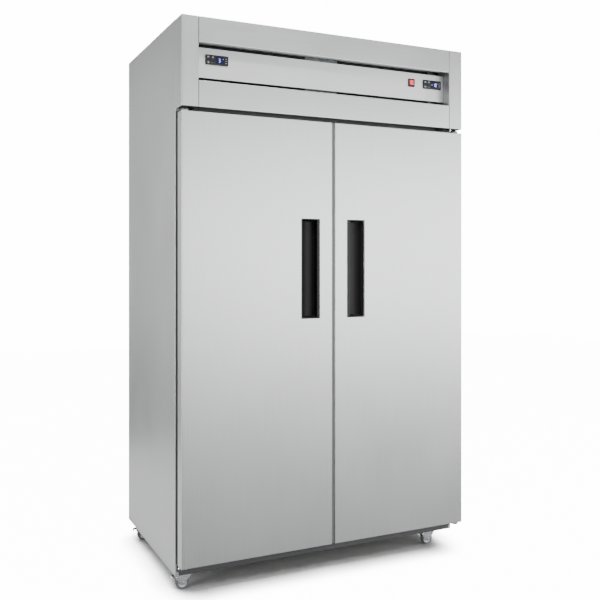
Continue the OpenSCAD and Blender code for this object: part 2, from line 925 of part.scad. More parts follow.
// Finned coils with their dust filters, fan shrouds, motors and motor struts
module condensers() {
  color("darkgray") at_units() {
    box(-filter_w / 2 - 6, filter_w / 2 + 6, baffle_y + sheet + slit, coil_y0 - 6,
      filter_z0 - 6, filter_z0 + filter_h + 6);
    box(-coil_w / 2, coil_w / 2, coil_y0, shroud_y, coil_z0, coil_z0 + coil_h);
    difference() {
      box(-coil_w / 2, coil_w / 2, shroud_y, shroud_y + 42, coil_z0, coil_z0 + coil_h);
      box(-coil_w / 2 + sheet, coil_w / 2 - sheet, shroud_y - 1, shroud_y + 42 - sheet,
        coil_z0 + sheet, coil_z0 + coil_h - sheet);
      rod([0, shroud_y, fan_z], [0, shroud_y + 50, fan_z], fan_r + 4);
    }
    for (x = [-coil_w / 2 + 8, coil_w / 2 - 20])
      box(x, x + 12, coil_y0, shroud_y + 42, z_deck + sheet, coil_z0);
    rod([0, fan_y + 14, fan_z], [0, fan_y + 72, fan_z], 38);
    rod([0, fan_y - 10, fan_z], [0, fan_y + 14, fan_z], 4);
    for (sx = [-1, 1])
      box(sx > 0 ? 30 : -fan_r - 14, sx > 0 ? fan_r + 14 : -30, shroud_y + 42, shroud_y + 46,
        fan_z - 6, fan_z + 6);
  }
}

// Axial fan that turns about Y: a bored hub and raked blades
module fan(r, hub_r, depth, blades) {
  bore_r = 4 + pin_fit;
  difference() {
    union() {
      rod([0, -depth / 2, 0], [0, depth / 2, 0], hub_r);
      for (i = [0 : blades - 1]) rotate([0, i * 360 / blades, 0]) translate([hub_r - 3, 0, 0])
        rotate([32, 0, 0]) box(0, r - hub_r, -1, 1, -depth * 0.72, depth * 0.72);
    }
    rod([0, -depth, 0], [0, depth, 0], bore_r);
  }
}

module condenser_fan_left() {
  color("gray") translate([-unit_x, fan_y, fan_z]) fan(fan_r - 4, 22, 22, 5);
}

module condenser_fan_right() {
  color("gray") translate([unit_x, fan_y, fan_z]) fan(fan_r - 4, 22, 22, 5);
}

// Copper suction, discharge and liquid lines, with the filter drier, for each unit
module pipework() {
  z0 = z_deck + sheet;
  end_x = coil_w / 2 + 10;
  color("peru") at_units() {
    pipe([[-76.2, 90, z0 + 40], [-150, 90, z0 + 40], [-150, 210, z0 + 40], [-150, 210, z0]], 6, 18);
    pipe([[-72, 60, z0 + 118], [-end_x, 60, z0 + 118], [-end_x, coil_y0 + 14, z0 + 118],
      [-coil_w / 2, coil_y0 + 14, z0 + 118]], 4, 9);
    pipe([[-coil_w / 2, coil_y0 + 30, z0 + 50], [-end_x, coil_y0 + 30, z0 + 50], [-end_x, 30, z0 + 50],
      [-end_x, 30, z0 + 24], [-175, 30, z0 + 24], [-175, 250, z0 + 24], [-175, 250, z0]], 4, 9);
    rod([-175, 100, z0 + 24], [-175, 190, z0 + 24], 10);
  }
}

// Control box between the units, with the gland for the supply at its back
module electrical_box() {
  z0 = z_deck + sheet;
  color("silver") {
    box(-58, 58, 170, 330, z0, z0 + 116);
    box(-60, 60, 168, 332, z0 + 116, z0 + 119);
  }
  color(black_plastic) difference() {
    union() {
      rod([0, 330, z0 + 60], [0, 350, z0 + 60], 12);
      rod([0, 334, z0 + 60], [0, 342, z0 + 60], 15);
    }
    rod([0, 336, z0 + 60], [0, 351, z0 + 60], 5);
  }
}

// ---- inside the sections ----

// Evaporator covers, each with a fan opening and ring, a coil and a drip tray
module evaporator_housings() {
  s = 1.5;
  y1 = in_y1 - 2;
  z1 = in_z1 - 2;
  color("white") for (x = [-evap_x, evap_x]) translate([x, 0, 0]) {
    difference() {
      box(-evap_w / 2, evap_w / 2, evap_y0, y1, evap_z0, z1);
      box(-evap_w / 2 + s, evap_w / 2 - s, evap_y0 + s, y1 - s, evap_z0 + s, z1 - s);
      rod([0, evap_y0 - 1, evap_fan_z], [0, evap_y0 + 5, evap_fan_z], evap_fan_r + 4);
      box(-evap_w / 2 + 20, evap_w / 2 - 20, y1 - 60, y1 - 20, evap_z0 - 1, evap_z0 + 5);
    }
    box(-evap_w / 2 + 16, evap_w / 2 - 16, evap_y0 + 70, y1 - s, evap_z0 + 16, z1 - 16);
    rod([0, evap_y0 + 34, evap_fan_z], [0, evap_y0 + 70, evap_fan_z], 24);
    rod([0, evap_y0 + 16, evap_fan_z], [0, evap_y0 + 34, evap_fan_z], 4);
  }
}

module evaporator_fan_left() {
  color("gray") translate([-evap_x, evap_y0 + 24, evap_fan_z]) fan(evap_fan_r, 17, 13, 5);
}

module evaporator_fan_right() {
  color("gray") translate([evap_x, evap_y0 + 24, evap_fan_z]) fan(evap_fan_r, 17, 13, 5);
}

function shelf_z(i) = in_z0 + 90 + i * shelf_pitch;

// Slotted uprights on the side walls, and four clips under each shelf
module shelf_supports() {
  color("silver") both_sides() for (y = [shelf_y0 + 60, shelf_y1 - 80]) {
    for (side = [-1, 1]) {
      x = side < 0 ? -in_x1 : -in_x0;
      x0 = side < 0 ? x : x - 5;
      difference() {
        box(x0, x0 + 5, y - 12, y + 12, in_z0 + 30, evap_z0 - 30);
        box(side < 0 ? x0 - 1 : x0 + 1.5, side < 0 ? x0 + 3.5 : x0 + 6, y - 8, y + 8, in_z0, evap_z0);
      }
      for (i = [0 : shelf_count - 1]) {
        z = shelf_z(i);
        clip_x = side < 0 ? x0 + 5 : x0 - 14;
        box(clip_x, clip_x + 14, y - 9, y + 9, z - 3, z);
        tab_x = side < 0 ? clip_x : clip_x + 12;
        box(tab_x, tab_x + 2, y - 9, y + 9, z - 15, z - 3);
      }
    }
  }
}

// One shelf: a border, three cross rods and the wires over them
module wire_shelf() {
  x0 = -in_x1 + 15;
  x1 = x0 + shelf_w;
  wires = floor((shelf_w - 20) / wire_pitch);
  first = (x0 + x1) / 2 - wires * wire_pitch / 2;
  for (y = [shelf_y0, (shelf_y0 + shelf_y1) / 2 - 3, shelf_y1 - 6]) box(x0, x1, y, y + 6, 0, 6);
  for (x = [x0, x1 - 6]) box(x, x + 6, shelf_y0, shelf_y1, 0, 6);
  for (i = [0 : wires]) {
    x = first + i * wire_pitch;
    box(x - 1.5, x + 1.5, shelf_y0, shelf_y1, 4, 8);
  }
}

module wire_shelves() {
  color("white") both_sides() for (i = [0 : shelf_count - 1]) translate([0, 0, shelf_z(i)]) wire_shelf();
}

side_panel_left();
side_panel_right();
back_panel();
base_panel();
insulation();
liners();
front_frame();
machine_deck();
header_end_left();
header_end_right();
header_panels();
control_panel();
screws();
controller_cases();
display_windows();
switch_housing();
switch_rocker();
key_left_set();
key_left_defrost();
key_left_down();
key_right_set();
key_right_defrost();
key_right_down();
door_skin_left();
door_foam_left();
door_liner_left();
door_gasket_left();
handle_left();
door_skin_right();
door_foam_right();
door_liner_right();
door_gasket_right();
handle_right();
hinge_brackets();
hinge_bushes_left();
hinge_bushes_right();
caster_plates();
caster_fork_front_left();
caster_fork_front_right();
caster_fork_rear_left();
caster_fork_rear_right();
wheel_front_left();
wheel_front_right();
wheel_rear_left();
wheel_rear_right();
brake_pedal_front_left();
brake_pedal_front_right();
brake_pedal_rear_left();
brake_pedal_rear_right();
compressors();
condensers();
condenser_fan_left();
condenser_fan_right();
pipework();
electrical_box();
evaporator_housings();
evaporator_fan_left();
evaporator_fan_right();
shelf_supports();
wire_shelves();
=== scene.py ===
import json
import math

import bmesh
import bpy
import numpy as np
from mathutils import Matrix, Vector


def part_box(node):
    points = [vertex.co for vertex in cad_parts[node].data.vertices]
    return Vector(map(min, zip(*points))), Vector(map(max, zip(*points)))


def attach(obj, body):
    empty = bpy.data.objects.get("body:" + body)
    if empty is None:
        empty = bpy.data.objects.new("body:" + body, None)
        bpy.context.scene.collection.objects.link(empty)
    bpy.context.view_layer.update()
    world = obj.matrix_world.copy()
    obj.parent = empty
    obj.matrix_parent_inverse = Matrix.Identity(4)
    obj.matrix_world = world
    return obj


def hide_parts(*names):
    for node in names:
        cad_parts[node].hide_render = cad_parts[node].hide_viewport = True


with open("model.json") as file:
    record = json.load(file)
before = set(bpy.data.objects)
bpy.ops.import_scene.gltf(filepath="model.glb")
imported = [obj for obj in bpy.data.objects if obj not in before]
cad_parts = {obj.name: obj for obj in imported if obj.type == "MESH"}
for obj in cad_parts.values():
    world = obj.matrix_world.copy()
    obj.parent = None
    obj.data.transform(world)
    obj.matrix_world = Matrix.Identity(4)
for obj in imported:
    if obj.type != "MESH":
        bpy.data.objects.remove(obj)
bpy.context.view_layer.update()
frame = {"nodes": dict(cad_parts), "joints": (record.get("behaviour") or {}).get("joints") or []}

mm = 0.001
far = 9000  # mm, farther off than any piece reaches
midHeight = 900  # mm, about half way up the cabinet
sides = ["left", "right"]
corners = ["front_left", "front_right", "rear_left", "rear_right"]
jointAt = {j["name"]: np.array(j["pos_m"]) / mm for j in frame["joints"] if "pos_m" in j}

studio = dict(
    cameraAt=(-1.442, -3.123, 1.222), heading=-25.47, lens=47.63, shiftDown=0.0657,
    floorSize=16.0, skyPower=0.6, backdropPower=15.0, floorGlow=14.0, shadowReach=0.16,
)

# Soft boxes: place, point each one faces, width and height in metres, power in watts
softBoxes = dict(
    frontBox=((2.0, -4.2, 1.35), (0.1, -0.4, 1.15), 4.2, 2.0, 172),
    sideBox=((-3.3, 3.0, 1.4), (-0.6, -0.1, 1.2), 1.8, 3.0, 44),
    sideLow=((-1.32, 0.8, 0.03), (-1.32, 0.8, 2.0), 1.36, 2.3, 11),
    topBox=((0.0, -0.6, 4.4), (0.0, 0.0, 1.0), 3.0, 3.0, 30),
    leftStrip=((-3.6, -1.3, 1.35), (-0.6, -0.4, 1.2), 0.4, 2.5, 130),
    rightStrip=((3.6, -1.8, 1.35), (0.0, -0.4, 1.2), 0.4, 2.5, 100),
    topStrip=((-0.2, -2.2, 4.0), (0.0, -0.4, 1.8), 3.0, 0.45, 90),
)


# sRGB hex to linear light: c / 12.92 near black, ((c + 0.055) / 1.055) ^ 2.4 above it
def toLinear(code):
    parts = [int(code[i:i + 2], 16) / 255 for i in (1, 3, 5)]
    return tuple(c / 12.92 if c <= 0.04045 else ((c + 0.055) / 1.055) ** 2.4 for c in parts) + (1.0,)


# One node with its settings, and its inputs as values or as sockets to link from
def addNode(tree, kind, settings=None, inputs=None):
    made = tree.nodes.new(kind)
    for key, value in (settings or {}).items():
        setattr(made, key, value)
    for key, value in (inputs or {}).items():
        if isinstance(value, bpy.types.NodeSocket):
            tree.links.new(value, made.inputs[key])
        else:
            made.inputs[key].default_value = value
    return made


def placeCamera():
    data = bpy.data.cameras.new("studioCamera")
    data.lens = studio["lens"]
    data.sensor_width = 36
    data.shift_y = -studio["shiftDown"]
    camera = bpy.data.objects.new("studioCamera", data)
    camera.location = studio["cameraAt"]
    camera.rotation_euler = (math.radians(90), 0, math.radians(studio["heading"]))
    bpy.context.scene.collection.objects.link(camera)
    bpy.context.scene.camera = camera


# The backdrop looks brighter than it shines, as a white sweep with lamps of its own does
def placeLights():
    for name, (at, target, width, height, power) in softBoxes.items():
        data = bpy.data.lights.new(name, "AREA")
        data.shape = "RECTANGLE"
        data.size = width
        data.size_y = height
        data.energy = power
        lamp = bpy.data.objects.new(name, data)
        lamp.location = at
        lamp.visible_camera = False
        lamp.rotation_euler = (Vector(target) - Vector(at)).to_track_quat("-Z", "Y").to_euler()
        bpy.context.scene.collection.objects.link(lamp)
    world = bpy.data.worlds.new("studioWorld")
    world.use_nodes = True
    tree = world.node_tree
    seen = addNode(tree, "ShaderNodeLightPath").outputs["Is Camera Ray"]
    power = addNode(tree, "ShaderNodeMapRange", inputs={
        "Value": seen, "To Min": studio["skyPower"], "To Max": studio["backdropPower"]})
    tree.nodes["Background"].inputs["Color"].default_value = toLinear("#ffffff")
    tree.links.new(power.outputs[0], tree.nodes["Background"].inputs["Strength"])
    bpy.context.scene.world = world


placeCamera()
placeLights()
print("camera and lights placed")


# A finish is two tones mixed by its grain, a roughness that the same grain moves between two values,
# and a relief in mm. grain is the pattern's size along x, y and z in mm. Broad, faint cloudiness a few
# hundred mm across stands for handling and uneven finishing.
def finish(name, tones, metallic, rough, grain, relief=0.0, cells=False, cloud=0.25, **sockets):
    made = bpy.data.materials.new(name)
    made.use_nodes = True
    tree = made.node_tree
    shader = tree.nodes["Principled BSDF"]
    place = addNode(tree, "ShaderNodeTexCoord").outputs["Object"]
    sized = addNode(tree, "ShaderNodeMapping", inputs={
        "Vector": place, "Scale": [1 / (size * mm) for size in grain]}).outputs[0]
    if cells:
        spot = addNode(tree, "ShaderNodeTexVoronoi", inputs={"Vector": sized, "Scale": 1.0})
        pattern = addNode(tree, "ShaderNodeSeparateColor", inputs={"Color": spot.outputs["Color"]}).outputs[0]
        height = spot.outputs["Distance"]
    else:
        spot = addNode(tree, "ShaderNodeTexNoise", inputs={"Vector": sized, "Scale": 1.0, "Detail": 3.0})
        pattern = addNode(tree, "ShaderNodeMapRange", inputs={
            "Value": spot.outputs[0], "From Min": 0.3, "From Max": 0.7}).outputs[0]
        height = spot.outputs[0]
    broad = addNode(tree, "ShaderNodeTexNoise", inputs={"Vector": place, "Scale": 3.5, "Detail": 1.0})
    broadly = addNode(tree, "ShaderNodeMapRange", inputs={
        "Value": broad.outputs[0], "From Min": 0.3, "From Max": 0.7}).outputs[0]
    both = addNode(tree, "ShaderNodeMix", inputs={0: cloud, 2: pattern, 3: broadly}).outputs[0]
    colour = addNode(tree, "ShaderNodeMix", {"data_type": "RGBA"}, {
        0: both, 6: toLinear(tones[0]), 7: toLinear(tones[1])})
    gloss = addNode(tree, "ShaderNodeMapRange", inputs={
        "Value": both, "To Min": rough[0], "To Max": rough[1]})
    tree.links.new(colour.outputs[2], shader.inputs["Base Color"])
    tree.links.new(gloss.outputs[0], shader.inputs["Roughness"])
    if relief:
        bump = addNode(tree, "ShaderNodeBump", inputs={"Height": height, "Distance": relief * mm})
        tree.links.new(bump.outputs[0], shader.inputs["Normal"])
    shader.inputs["Metallic"].default_value = metallic
    for key, value in sockets.items():
        shader.inputs[key.replace("_", " ")].default_value = value
    return made


# Stainless steel, belt-brushed with 180 grit: soft, satin mirror with long fine grooves. Real grooves
# are 0.1 mm wide; they are drawn 1.5 mm wide so that the grain shows at all.
brushedUpright = finish("brushedStainlessUpright", ("#a6a7a8", "#b3b4b5"), 1.0, (0.36, 0.44),
                        (1.5, 1.5, 260), relief=0.004)
brushedLevel = finish("brushedStainlessLevel", ("#a6a7a8", "#b3b4b5"), 1.0, (0.34, 0.42),
                      (260, 1.5, 1.5), relief=0.004)
# Stainless panel with a finer satin polish: a little lighter than its neighbours
satinStainless = finish("satinStainless", ("#b4b5b6", "#bebfc0"), 1.0, (0.4, 0.48), (120, 2, 2), relief=0.003)
# Face frame: satin dark grey, much darker than its stainless steel, as painted shade: the gaps round the
# doors go dark and the bottom rail under the doors takes the shade of the floor it reflects. The hinge
# brackets share it.
shadeDarkGrey = finish("shadeDarkGrey", ("#505152", "#5a5b5c"), 1.0, (0.4, 0.5), (260, 2, 2), relief=0.003)
# Hot-dip galvanised sheet: zinc crystals about 9 mm across, each with its own sheen
galvanised = finish("galvanisedSheet", ("#8f9496", "#b4b8ba"), 1.0, (0.38, 0.6), (9, 9, 9), cells=True)
# Stucco-embossed aluminium lining: small raised pebbles 5 mm apart
stucco = finish("stuccoAluminium", ("#c9cbcc", "#d8dadb"), 1.0, (0.34, 0.46), (5, 5, 5), relief=0.35,
                cells=True)
# Rigid polyurethane foam, poured in place: cream skin with small open cells
foamed = finish("polyurethaneFoam", ("#d9c48a", "#e9dcb0"), 0.0, (0.8, 0.95), (3, 3, 3), relief=0.4,
                cells=True)
# Bright zinc plating on pressed steel: cool, slightly blue, with a soft shine
zincPlate = finish("brightZincPlate", ("#b9bcc0", "#d4d7da"), 1.0, (0.2, 0.34), (14, 14, 14))
# Polished nickel-chrome plating: clear reflections, faintly swirled by polishing
chromePlate = finish("chromePlate", ("#d5d7da", "#e6e8ea"), 1.0, (0.1, 0.2), (20, 20, 20))
# Hardened bearing steel, oiled: dark and glossy
oiledSteel = finish("oiledSteel", ("#2e2f31", "#474849"), 1.0, (0.25, 0.45), (6, 6, 6))
# Black ABS, moulded with a fine spark texture: matt, slightly grey where it catches the light
blackAbs = finish("blackAbs", ("#08080a", "#0e0e10"), 0.0, (0.42, 0.55), (1.2, 1.2, 1.2), relief=0.03,
                  IOR=1.5, Specular_IOR_Level=0.24)
# Black polycarbonate, polished mould: smooth and glossy
blackGloss = finish("blackPolycarbonate", ("#0c0d10", "#141519"), 0.0, (0.16, 0.26), (8, 8, 8), IOR=1.58)
# Smoked acrylic window: deep navy, mirror-smooth
smokedAcrylic = finish("smokedAcrylic", ("#0c1230", "#131b46"), 0.0, (0.06, 0.12), (30, 30, 30), IOR=1.49)
# Lit display segments behind the window: pale violet light with slightly warmer cores
litSegment = finish("litSegment", ("#b7b6ff", "#d9d8ff"), 0.0, (0.4, 0.5), (1.5, 1.5, 1.5),
                    Emission_Color=toLinear("#b9b8ff"), Emission_Strength=1.6)
# Pad-printed marks: flat light grey ink
printedInk = finish("printedInk", ("#9a9da4", "#b4b7bd"), 0.0, (0.5, 0.6), (1, 1, 1))
# Soft silicone-coated keys: mid grey, matt
keyCaps = finish("siliconeKey", ("#70747c", "#82868d"), 0.0, (0.5, 0.62), (1.5, 1.5, 1.5), relief=0.02,
                 IOR=1.41)
# Translucent red polycarbonate rocker, lit from inside by a neon lamp
redRocker = finish("translucentRed", ("#cc3a46", "#e0525e"), 0.0, (0.2, 0.3), (6, 6, 6), IOR=1.58,
                   Emission_Color=toLinear("#ff5560"), Emission_Strength=0.3)
# Dark grey ABS door liner, vacuum-formed: softly glossy, a little uneven
linerAbs = finish("formedAbs", ("#2c2d30", "#37383c"), 0.0, (0.34, 0.46), (18, 18, 18), relief=0.05, IOR=1.53)
# Magnetic seal, extruded soft PVC: charcoal, dull
sealPvc = finish("softPvcSeal", ("#1b1b1d", "#29292c"), 0.0, (0.55, 0.7), (2, 2, 2), relief=0.03, IOR=1.52)
# The strip between the doors, extruded semi-rigid PVC: mid grey and satin, with faint draw lines
greyPvc = finish("greyPvc", ("#4d4f51", "#5a5c5e"), 0.0, (0.4, 0.5), (1.5, 1.5, 90), relief=0.02, IOR=1.53)
# Reticulated polyurethane filter foam behind a steel screen: near black, open-celled
filterFoam = finish("filterFoam", ("#1d1e1f", "#2c2d2e"), 0.0, (0.85, 0.95), (2, 2, 2), relief=0.8,
                    cells=True)
# Woven galvanised screen wire, dulled by dust
screenWire = finish("screenWire", ("#5d6062", "#75787a"), 1.0, (0.45, 0.6), (7, 7, 7))
# White ABS evaporator cover, moulded
whiteAbs = finish("whiteAbs", ("#dfe0de", "#eceded"), 0.0, (0.34, 0.46), (2, 2, 2), relief=0.02, IOR=1.53)
# Nylon bushes: ivory, waxy
nylon = finish("nylon", ("#d9d4c4", "#e8e4d6"), 0.0, (0.4, 0.5), (4, 4, 4), IOR=1.53, Subsurface_Weight=0.15)
# Thermoplastic rubber tyre: dark grey, dusty on its tread
tyreRubber = finish("tyreRubber", ("#4b4d50", "#5e6063"), 0.0, (0.6, 0.8), (3, 3, 3), relief=0.06, IOR=1.5)
# Light grey polypropylene wheel centre, moulded
rimPlastic = finish("rimPolypropylene", ("#b4b6b8", "#c6c8ca"), 0.0, (0.35, 0.48), (5, 5, 5), IOR=1.49)
# Black enamel on the compressor shells: thick and glossy, with faint orange peel about 3 mm across
shellEnamel = finish("compressorEnamel", ("#0e0e0f", "#19191a"), 0.0, (0.2, 0.34), (3, 3, 3), relief=0.08,
                     IOR=1.52, Coat_Weight=0.4, Coat_Roughness=0.15)
# Rolled aluminium fins: pale, with streaks along the rolling direction
finAluminium = finish("finAluminium", ("#b6babd", "#d2d5d7"), 1.0, (0.32, 0.5), (3, 3, 40))
# Cast and pressed aluminium of fan blades
bladeAluminium = finish("bladeAluminium", ("#9fa3a6", "#bcc0c2"), 1.0, (0.3, 0.46), (10, 2, 10))
# Refrigeration copper tube: warm, tarnished darker in patches 25 mm across
copperTube = finish("copperTube", ("#9a5a38", "#c98a62"), 1.0, (0.24, 0.42), (25, 25, 25))
# Polyester powder coat on the control box: light grey, fine orange peel
powderGrey = finish("powderCoat", ("#a9acae", "#babdbf"), 0.0, (0.42, 0.55), (1.6, 1.6, 1.6), relief=0.05,
                    IOR=1.5)
# Shelf wire dipped in grey-white epoxy: smooth and thick, with soft highlights
epoxyWire = finish("epoxyWire", ("#d3d5d4", "#e2e4e3"), 0.0, (0.3, 0.42), (9, 9, 9), IOR=1.5)
# Nitrile rubber feet: black and dull
nitrile = finish("nitrileRubber", ("#151515", "#222222"), 0.0, (0.65, 0.8), (4, 4, 4), relief=0.05, IOR=1.52)
# Studio floor: mid grey and even, with a barely visible mottling. The grey is darker than the floor looks so
# that its bounce light and its reflection low on the doors are dim, which is painted shade there; the camera
# sees the floor pale through the glow that layFloor adds.
floorPaint = finish("floorPaint", ("#8b8b8a", "#969695"), 0.0, (0.7, 0.8), (60, 60, 60), IOR=1.45)
print("finishes mixed")


# A part is (points in mm, faces). These functions make parts; piece() turns them into an object.


# Lowest and highest corner of a CAD node, in mm
def span(node):
    low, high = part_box(node)
    return np.array(low) / mm, np.array(high) / mm


# Quads over a grid of points (rows, columns, 3), closed up either way, with flat ends if asked
def grid(points, wrapRows=False, wrapColumns=False, capFirst=False, capLast=False):
    rows, columns = points.shape[:2]
    index = np.arange(rows * columns).reshape(rows, columns)
    ends = [index[0][::-1].tolist()] * capFirst + [index[-1].tolist()] * capLast
    if wrapRows:
        index = np.vstack([index, index[:1]])
    if wrapColumns:
        index = np.hstack([index, index[:, :1]])
    quads = np.stack([index[:-1, :-1], index[:-1, 1:], index[1:, 1:], index[1:, :-1]], -1)
    return points.reshape(-1, 3), quads.reshape(-1, 4).tolist() + ends


def join(parts):
    starts = np.cumsum([0] + [len(points) for points, faces in parts])
    faces = [[i + start for i in face] for start, part in zip(starts, parts) for face in part[1]]
    return np.vstack([points for points, faces in parts]), faces


def moved(part, offset):
    return part[0] + np.array(offset, float), part[1]


# Turned by degrees about an axis (0, 1 or 2) through centre, right-handed
def rotated(part, axis, degrees, centre=(0, 0, 0)):
    c, s = math.cos(math.radians(degrees)), math.sin(math.radians(degrees))
    a, b = [(1, 2), (2, 0), (0, 1)][axis]
    local = part[0] - np.array(centre, float)
    turned = local.copy()
    turned[:, a] = c * local[:, a] - s * local[:, b]
    turned[:, b] = s * local[:, a] + c * local[:, b]
    return turned + np.array(centre, float), part[1]


# The same part with its axes renamed, such as "xzy"
def reaxed(part, order):
    return part[0][:, ["xyz".index(axis) for axis in order]], part[1]


def inset(frameBox, d):
    x0, x1, z0, z1 = frameBox
    return x0 + d, x1 - d, z0 + d, z1 - d


# Rounded rectangle (x0, x1, z0, z1) as points on four corner arcs of radius r, anticlockwise from the front
def ring(frameBox, r, arc):
    x0, x1, z0, z1 = frameBox
    t = np.linspace(0, np.pi / 2, arc)
    corner = [(x1 - r, z0 + r, -1), (x1 - r, z1 - r, 0), (x0 + r, z1 - r, 1), (x0 + r, z0 + r, 2)]
    return np.concatenate([
        np.stack([cx + r * np.cos(t + q * np.pi / 2), cz + r * np.sin(t + q * np.pi / 2)], -1)
        for cx, cz, q in corner])


# Rings stacked through stages of (rectangle, corner radius, y)
def loft(stages, arc=5, **ends):
    rings = [ring(frameBox, r, arc) for frameBox, r, y in stages]
    depth = [np.full(len(outline), float(stage[2])) for outline, stage in zip(rings, stages)]
    points = np.stack([np.column_stack([outline[:, 0], y, outline[:, 1]])
                       for outline, y in zip(rings, depth)])
    return grid(points, wrapColumns=True, **ends)


# Stages round a fold of radius f, from the edge of a pan to its face at y0, as a quarter circle.
# turn is 1 where the pan opens towards +y and -1 where it opens towards -y.
def foldStages(frameBox, r, y0, f, steps=4, turn=1):
    a = np.linspace(0, np.pi / 2, steps + 1)
    return [(inset(frameBox, f * (1 - math.cos(t))), r, y0 + turn * f * (1 - math.sin(t))) for t in a]


# Closed block with round edges: a rounded rectangle from y0 back to y1
def slab(frameBox, y0, y1, r=1.0, edge=0.4, steps=2, arc=4):
    back = foldStages(frameBox, r, y1, edge, steps, -1)[::-1]
    return loft(back + foldStages(frameBox, r, y0, edge, steps), arc, capFirst=True, capLast=True)


# Corners of a line of points eased with radius r: a quadratic curve between the two tangent points
def eased(points, r, steps=5):
    points = np.array(points, float)
    t = np.linspace(0, 1, steps + 1)[:, None]
    out = [points[:1]]
    for before, corner, after in zip(points, points[1:], points[2:]):
        a = corner + (before - corner) / np.linalg.norm(before - corner) * r
        b = corner + (after - corner) / np.linalg.norm(after - corner) * r
        out.append((1 - t) ** 2 * a + 2 * t * (1 - t) * corner + t ** 2 * b)
    return np.vstack(out + [points[-1:]])


# Open profile of two coordinates carried straight from start to end along the third axis
def folded(profile, axis, start, end):
    profile = np.asarray(profile, float)
    levels = [np.insert(profile, axis, value, axis=1) for value in (start, end)]
    return grid(np.stack(levels))


# Flat outline of two coordinates, closed, thickened from start to end along the third axis
def plank(outline, axis, start, end):
    outline = np.asarray(outline, float)
    levels = [np.insert(outline, axis, value, axis=1) for value in (start, end)]
    return grid(np.stack(levels), wrapColumns=True, capFirst=True, capLast=True)


# Circle of radius r (or a radius for each point) carried along a path, in frames square to its tangent
def tube(path, r, around=10, closed=False):
    path = np.asarray(path, float)
    along = np.roll(path, -1, 0) - np.roll(path, 1, 0) if closed else np.gradient(path, axis=0)
    along /= np.linalg.norm(along, axis=1, keepdims=True)
    across = np.cross(along, (0.31, 0.24, 0.92))
    across /= np.linalg.norm(across, axis=1, keepdims=True)
    up = np.cross(along, across)
    t = np.linspace(0, 2 * np.pi, around, endpoint=False)
    size = np.broadcast_to(np.asarray(r, float), len(path))[:, None, None]
    points = path[:, None] + size * (
        np.cos(t)[None, :, None] * across[:, None] + np.sin(t)[None, :, None] * up[:, None])
    return grid(points, wrapRows=closed, wrapColumns=True, capFirst=not closed, capLast=not closed)


# Profile of (radius, height) turned about an axis (0, 1 or 2) through centre
def turned(profile, centre, axis=2, around=32, start=0.0):
    profile = np.asarray(profile, float)
    t = np.linspace(0, 2 * np.pi, around, endpoint=False) + start
    a, b = [(1, 2), (2, 0), (0, 1)][axis]
    points = np.zeros((len(profile), around, 3))
    points[..., a] = profile[:, :1] * np.cos(t)
    points[..., b] = profile[:, :1] * np.sin(t)
    points[..., axis] = profile[:, 1:]
    return grid(points + np.array(centre, float), wrapColumns=True)


# The other half of a profile of (radius, height) that is even about height 0
def reflected(profile):
    return [(r, -h) for r, h in reversed(profile)]


# Plain pin of radius r along y, from -reach to reach about its centre
def rod(r, reach, centre, around):
    return turned([(0, -reach), (r, -reach), (r, reach), (0, reach)], centre, 1, around)


# Outline round a set of circles (x, y, r): their convex hull, found by walking round in angle and
# taking the circle that reaches furthest that way
def aroundCircles(circles, steps=72):
    t = np.linspace(0, 2 * np.pi, steps, endpoint=False)
    way = np.column_stack([np.cos(t), np.sin(t)])
    circles = np.array(circles, float)
    furthest = np.argmax(way @ circles[:, :2].T + circles[:, 2], axis=1)
    return circles[furthest, :2] + way * circles[furthest, 2:]


# Makes the object. wall gives a sheet its thickness behind its face, and core is a point that the faces of
# an open sheet look away from; a closed solid's faces are turned outwards instead.
def piece(name, parts, coat, body, replaced=(), wall=0.0, core=None, bevel=0.0, sharp=38):
    points, faces = join(parts)
    mesh = bpy.data.meshes.new(name)
    mesh.from_pydata((points * mm).tolist(), [], faces)
    work = bmesh.new()
    work.from_mesh(mesh)
    bmesh.ops.remove_doubles(work, verts=work.verts, dist=0.002 * mm)
    if core is None:
        bmesh.ops.recalc_face_normals(work, faces=work.faces)
    else:
        away = Vector(core) * mm
        facing = sum(f.calc_area() * f.normal.dot(f.calc_center_median() - away) for f in work.faces)
        if facing < 0:
            bmesh.ops.reverse_faces(work, faces=work.faces)
    work.to_mesh(mesh)
    work.free()
    made = bpy.data.objects.new(name, mesh)
    bpy.context.scene.collection.objects.link(made)
    if wall:
        thicken = made.modifiers.new("wall", "SOLIDIFY")
        thicken.thickness = wall * mm
        thicken.offset = -1
    if bevel:
        soften = made.modifiers.new("edges", "BEVEL")
        soften.width = bevel * mm
        soften.segments = 2
        soften.limit_method = "ANGLE"
    if wall or bevel:
        ready = made.evaluated_get(bpy.context.evaluated_depsgraph_get())
        mesh = bpy.data.meshes.new_from_object(ready)
        made.modifiers.clear()
        made.data = mesh
    mesh.shade_smooth()
    mesh.set_sharp_from_angle(angle=math.radians(sharp))
    weigh = made.modifiers.new("normals", "WEIGHTED_NORMAL")
    weigh.keep_sharp = True
    mesh.materials.clear()
    mesh.materials.append(coat)
    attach(made, body)
    if replaced:
        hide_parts(*replaced)
    return made


# A node that several pieces stand for is replaced by the first of them
def once(node, first):
    return [node] if first else []


